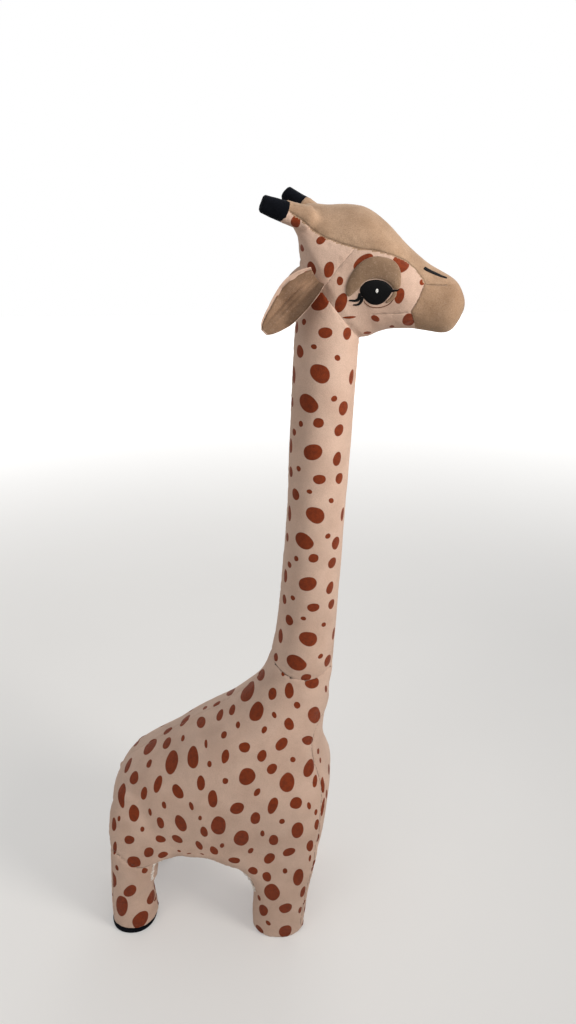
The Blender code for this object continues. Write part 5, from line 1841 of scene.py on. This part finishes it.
def make_tail():
    angles = round_angles(TAIL_SIDES)
    round_way = np.stack([np.cos(angles), np.sin(angles), np.zeros(TAIL_SIDES)], axis=1)
    tuft_x = (TUFT_LOW.x + TUFT_HIGH.x) / 2
    root_x = TAIL_HIGH.x - TAIL_RADIUS
    rows = []
    for share in np.linspace(0, 1, TAIL_ROWS):
        z = TAIL_HIGH.z + (TAIL_LOW.z - TAIL_HIGH.z) * share
        x = root_x + (tuft_x - root_x) * step_between(share, 0.0, 0.75)
        cap = math.sqrt(max(0.0, 1 - max(0.0, 1 - share / 0.05) ** 2))
        rows.append(np.array([x, 0, z])
                    + round_way * TAIL_RADIUS * max(cap, 0.03) * (1 - 0.16 * share))
    points, faces = closed_rings(rows)
    points = lumpy(points, faces, (0.012, 61.0, 0.0005))
    turn = np.tile(angles, TAIL_ROWS)
    seam = np.abs(np.sin(turn / 2)) * 2 * TAIL_RADIUS + 0.0003
    flat = np.stack([(turn - math.pi) * TAIL_RADIUS, points[:, 2]], axis=1)
    printed = printed_by_repeat(flat[faces], (0.01, 0.03))
    tube = new_mesh("tail_tube", points, faces, PRINTED, printed, seam)
    settle(tube, "tail_body", ["tail"])
    rows = []
    radius = (TUFT_HIGH.y - TUFT_LOW.y) / 2
    for share, thick in smooth_table(TUFT_SHARES, 40):
        z = TUFT_HIGH.z + 0.001 - (TUFT_HIGH.z - TUFT_LOW.z + 0.001) * share
        ribs = 1 + 0.07 * np.sin(9 * angles + 3 * share)[:, None]
        rows.append(np.array([tuft_x, 0, z]) + round_way * ribs * radius * max(thick, 0.05))
    points, faces = closed_rings(rows)
    tuft = new_mesh("tuft", points, faces, BLACK_FELT)
    settle(tuft, "tail_body", ["tail_tuft"])


make_tail()


# Closing stitches. After stuffing, the seams inside the legs are closed by hand with pale
# thread, whose loops stand out where the gusset meets a leg.
CLOSED_SEAMS = (
    ("rear", ((161.6, 865.8), (158.0, 868.8), (155.4, 873.0), (154.8, 880.5)), 4),
    ("front", ((243.6, 873.6), (247.2, 878.4), (250.2, 884.4), (252.0, 891.0)), 9),
)
CLOSED_SEAM_OUT = 0.022
THREAD_RADIUS = 0.0008
STITCH_LENGTH = 0.0056
STITCH_SPACING = 0.0019
STITCH_SLANT = 0.9
LINE_POINTS = 24
CLOSING_THREAD = make_thread("closing_thread", (240, 232, 222), 0.7, (255, 250, 240))


def make_stitch_tree():
    """Geometry nodes that set arched stitches across a line of points."""
    tree = bpy.data.node_groups.new("hand_stitches", "GeometryNodeTree")
    side = tree.interface
    side.new_socket("Geometry", in_out="INPUT", socket_type="NodeSocketGeometry")
    for name, value in (("Spacing", STITCH_SPACING), ("Stitch Length", STITCH_LENGTH),
                        ("Thread Radius", THREAD_RADIUS), ("Slant", STITCH_SLANT)):
        side.new_socket(name, in_out="INPUT", socket_type="NodeSocketFloat").default_value = value
    side.new_socket("Seed", in_out="INPUT", socket_type="NodeSocketInt")
    side.new_socket("Thread", in_out="INPUT", socket_type="NodeSocketMaterial")
    side.new_socket("Geometry", in_out="OUTPUT", socket_type="NodeSocketGeometry")
    ins, outs = tree.nodes.new("NodeGroupInput").outputs, tree.nodes.new("NodeGroupOutput").inputs

    def step(kind, inputs=None, **settings):
        return add(tree, kind, inputs, **settings).outputs[0]

    line = step("GeometryNodeMeshToCurve", {"Mesh": ins["Geometry"]})
    line = step("GeometryNodeResampleCurve", {"Curve": line, "Length": ins["Spacing"]},
                mode="LENGTH")
    half = maths(tree, "MULTIPLY", ins["Stitch Length"], 0.5)
    start = step("ShaderNodeCombineXYZ", {"X": maths(tree, "MULTIPLY", half, -1.0)})
    crest = step("ShaderNodeCombineXYZ", {"Z": half})
    end = step("ShaderNodeCombineXYZ", {"X": half})
    arch = step("GeometryNodeCurveQuadraticBezier",
                {"Resolution": 7, "Start": start, "Middle": crest, "End": end})
    ring = step("GeometryNodeCurvePrimitiveCircle",
                {"Resolution": 6, "Radius": ins["Thread Radius"]})
    stitch = step("GeometryNodeCurveToMesh",
                  {"Curve": arch, "Profile Curve": ring, "Fill Caps": True})

    out_way = step("GeometryNodeInputNamedAttribute", {"Name": "Out"}, data_type="FLOAT_VECTOR")
    turn = step("FunctionNodeAlignRotationToVector", {"Vector": out_way}, axis="Z")
    tangent = step("GeometryNodeInputTangent")
    turn = step("FunctionNodeAlignRotationToVector", {"Rotation": turn, "Vector": tangent},
                axis="Y", pivot_axis="Z")
    least = maths(tree, "MULTIPLY", ins["Slant"], -1.0)
    low, high = (step("ShaderNodeCombineXYZ", {"X": most, "Y": most, "Z": most})
                 for most in (least, ins["Slant"]))
    slant = step("FunctionNodeRandomValue", {"Min": low, "Max": high, "Seed": ins["Seed"]},
                 data_type="FLOAT_VECTOR")
    slant = step("FunctionNodeEulerToRotation", {0: slant})
    turn = step("FunctionNodeRotateRotation", {"Rotation": turn, "Rotate By": slant},
                rotation_space="LOCAL")
    size = add(tree, "FunctionNodeRandomValue", {2: 0.7, 3: 1.5, "Seed": ins["Seed"]}).outputs[1]
    made = step("GeometryNodeInstanceOnPoints",
                {"Points": line, "Instance": stitch, "Rotation": turn, "Scale": size})
    made = step("GeometryNodeRealizeInstances", {"Geometry": made})
    made = step("GeometryNodeSetShadeSmooth", {"Geometry": made})
    made = step("GeometryNodeSetMaterial", {"Geometry": made, "Material": ins["Thread"]})
    tree.links.new(made, outs["Geometry"])
    return tree


HAND_STITCHES = make_stitch_tree()


def make_closing_stitches(name, pixels, seed):
    places, ways = [], []
    for pixel in curve_through(pixels, LINE_POINTS):
        ray = picture_ray(pixel)
        reach = (-FOOT_TRACK / 2 - CLOSED_SEAM_OUT - CAMERA_PLACE[1]) / ray[1]
        place, normal, _, _ = BODY_TREE.find_nearest(Vector(CAMERA_PLACE) + ray * reach)
        places.append(np.array(place))
        ways.append(np.array(normal))
    links = [(number, number + 1) for number in range(LINE_POINTS - 1)]
    for side, mirror in zip(("right", "left"), MIRRORS):
        mesh = bpy.data.meshes.new("seam_line")
        mesh.from_pydata([tuple(place * mirror) for place in places], links, [])
        carry(mesh, "Out", np.array(ways) * mirror, "FLOAT_VECTOR")
        line = in_scene("seam_line", mesh)
        modifier = line.modifiers.new("stitches", "NODES")
        modifier.node_group = HAND_STITCHES
        for socket in HAND_STITCHES.interface.items_tree:
            if socket.name == "Seed" and socket.in_out == "INPUT":
                modifier[socket.identifier] = seed
            if socket.name == "Thread":
                modifier[socket.identifier] = CLOSING_THREAD
        piece = in_scene(f"{name}_{side}_closing_stitches", evaluated(line))
        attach(piece, "toy")


for closed_seam in CLOSED_SEAMS:
    make_closing_stitches(*closed_seam)


# Soles. Flat black cloth over a board under each foot, gathered up round its edge.
SOLE_LIFT = {"rear": 0.0085, "front": 0.0020}
SOLE_SPREAD = {"rear": 1.15, "front": 0.94}
SOLE_ARCH_INSET = {"rear": 0.0045, "front": 0.0}


def make_sole(end, side, foot_x, table):
    name = f"{end}_{side}"
    outer, arch, outer_y, inner_y, square = table[0][1:]
    half_wide = (outer_y - inner_y) / 2 * FOOT_WIDTH
    middle_x = foot_x + (outer + arch) / 2 * FOOT_LENGTH
    middle_y = (-1 if side == "right" else 1) * FOOT_TRACK / 2
    high, spread = SOLE_LIFT[end], SOLE_SPREAD[end]
    profile = ((0.0, 0.05), (0.0, 0.60), (0.0, 0.93), (0.0004, 0.965), (0.0014, 0.985),
               (high * 0.6, 0.99), (high, 0.97), (high + 0.0015, 0.90))
    rings = []
    for z, share in profile:
        half = (outer - arch) / 2 * FOOT_LENGTH * (share * spread)
        inset = math.copysign(SOLE_ARCH_INSET[end], half)
        rings.append(((middle_x + half, z), (middle_x - half + inset, z), middle_y,
                      half_wide * (share * spread), square, square))
    points, faces = closed_rings(ovals(rings, LOFT_SIDES))
    settle(new_mesh(f"{name}_foot_pad", points, faces, BLACK_FELT), "toy",
           [f"{name}_sole", f"{name}_foot_board"])


for side in ("right", "left"):
    make_sole("rear", side, REAR_FOOT_X, REAR_LEG_SHARES)
for side in ("right", "left"):
    make_sole("front", side, FRONT_FOOT_X, FRONT_LEG_SHARES)


# Floor and light. A pale matt floor runs back out of sight; seen from the camera it glows with
# painted light, faintly near the giraffe and more with distance, until it is white. A wide
# soft box stands high at the camera's right, a weaker one at its left, and a pale sky fills the
# rest.
FLOOR_COLOUR = (214, 211, 206)
FLOOR_HALF = 9.0
FLOOR_FADE = 5.0
# How much the floor glows with painted light, near and far.
FLOOR_GLOW = (0.24, 1.0)
SKY_LEVEL = 0.44


def make_floor():
    made, tree, shader, place = new_material("pale_floor")
    grain = remap(tree, speckle(tree, place, 0.4, 3.0), 0.3, 0.7, 0.985, 1.0)
    away = add(tree, "ShaderNodeVectorMath", {0: place}, operation="LENGTH").outputs["Value"]
    seen = add(tree, "ShaderNodeLightPath").outputs["Is Camera Ray"]
    # Painted light: the floor glows for camera rays, faintly near the giraffe and fully far off.
    glow = maths(tree, "MULTIPLY", remap(tree, away, 1.0, FLOOR_FADE, *FLOOR_GLOW), seen)
    colour = shade(tree, linear(FLOOR_COLOUR), grain)
    for name, value in (("Base Color", colour), ("Roughness", 0.75), ("Emission Strength", glow),
                        ("Emission Color", (1, 1, 1, 1))):
        feed(tree, shader.inputs[name], value)
    corners = [(x * FLOOR_HALF, y * FLOOR_HALF, 0) for x, y in ((-1, -1), (1, -1), (1, 1), (-1, 1))]
    new_mesh("floor", corners, [(0, 1, 2, 3)], made, smooth=False)


def soft_box(name, place, target, size, power, colour, spread=180):
    lamp = bpy.data.lights.new(name, "AREA")
    lamp.shape = "DISK"
    lamp.size = size
    lamp.energy = power
    lamp.spread = math.radians(spread)
    lamp.color = colour
    made = in_scene(name, lamp)
    made.location = place
    made.rotation_euler = (Vector(target) - Vector(place)).to_track_quat("-Z", "Y").to_euler()


def make_sky():
    world = bpy.data.worlds.new("sky")
    world.use_nodes = True
    tree = world.node_tree
    tree.nodes.clear()
    rays = add(tree, "ShaderNodeLightPath")
    seen = add(tree, "ShaderNodeBackground", {"Color": (1, 1, 1, 1), "Strength": 1.0})
    fill = add(tree, "ShaderNodeBackground", {"Color": (0.97, 0.98, 1, 1), "Strength": SKY_LEVEL})
    direct = maths(tree, "MAXIMUM", rays.outputs["Is Camera Ray"], rays.outputs["Is Glossy Ray"])
    mixed = add(tree, "ShaderNodeMixShader", {0: direct, 1: fill.outputs[0], 2: seen.outputs[0]})
    out = tree.nodes.new("ShaderNodeOutputWorld")
    tree.links.new(mixed.outputs[0], out.inputs["Surface"])
    bpy.context.scene.world = world


make_floor()
make_sky()
soft_box("key", (1.9, -0.95, 1.65), (0.05, 0, 1.15), 0.9, 9, (1.0, 0.97, 0.94), spread=75)
soft_box("fill", (-1.6, -2.2, 1.6), (0, 0, 0.5), 1.6, 9, (1.0, 0.98, 0.96))
soft_box("back", (0.2, 2.4, 2.2), (0, 0, 0.7), 1.4, 12, (1.0, 1.0, 1.0))
bpy.context.scene.view_settings.view_transform = "Standard"
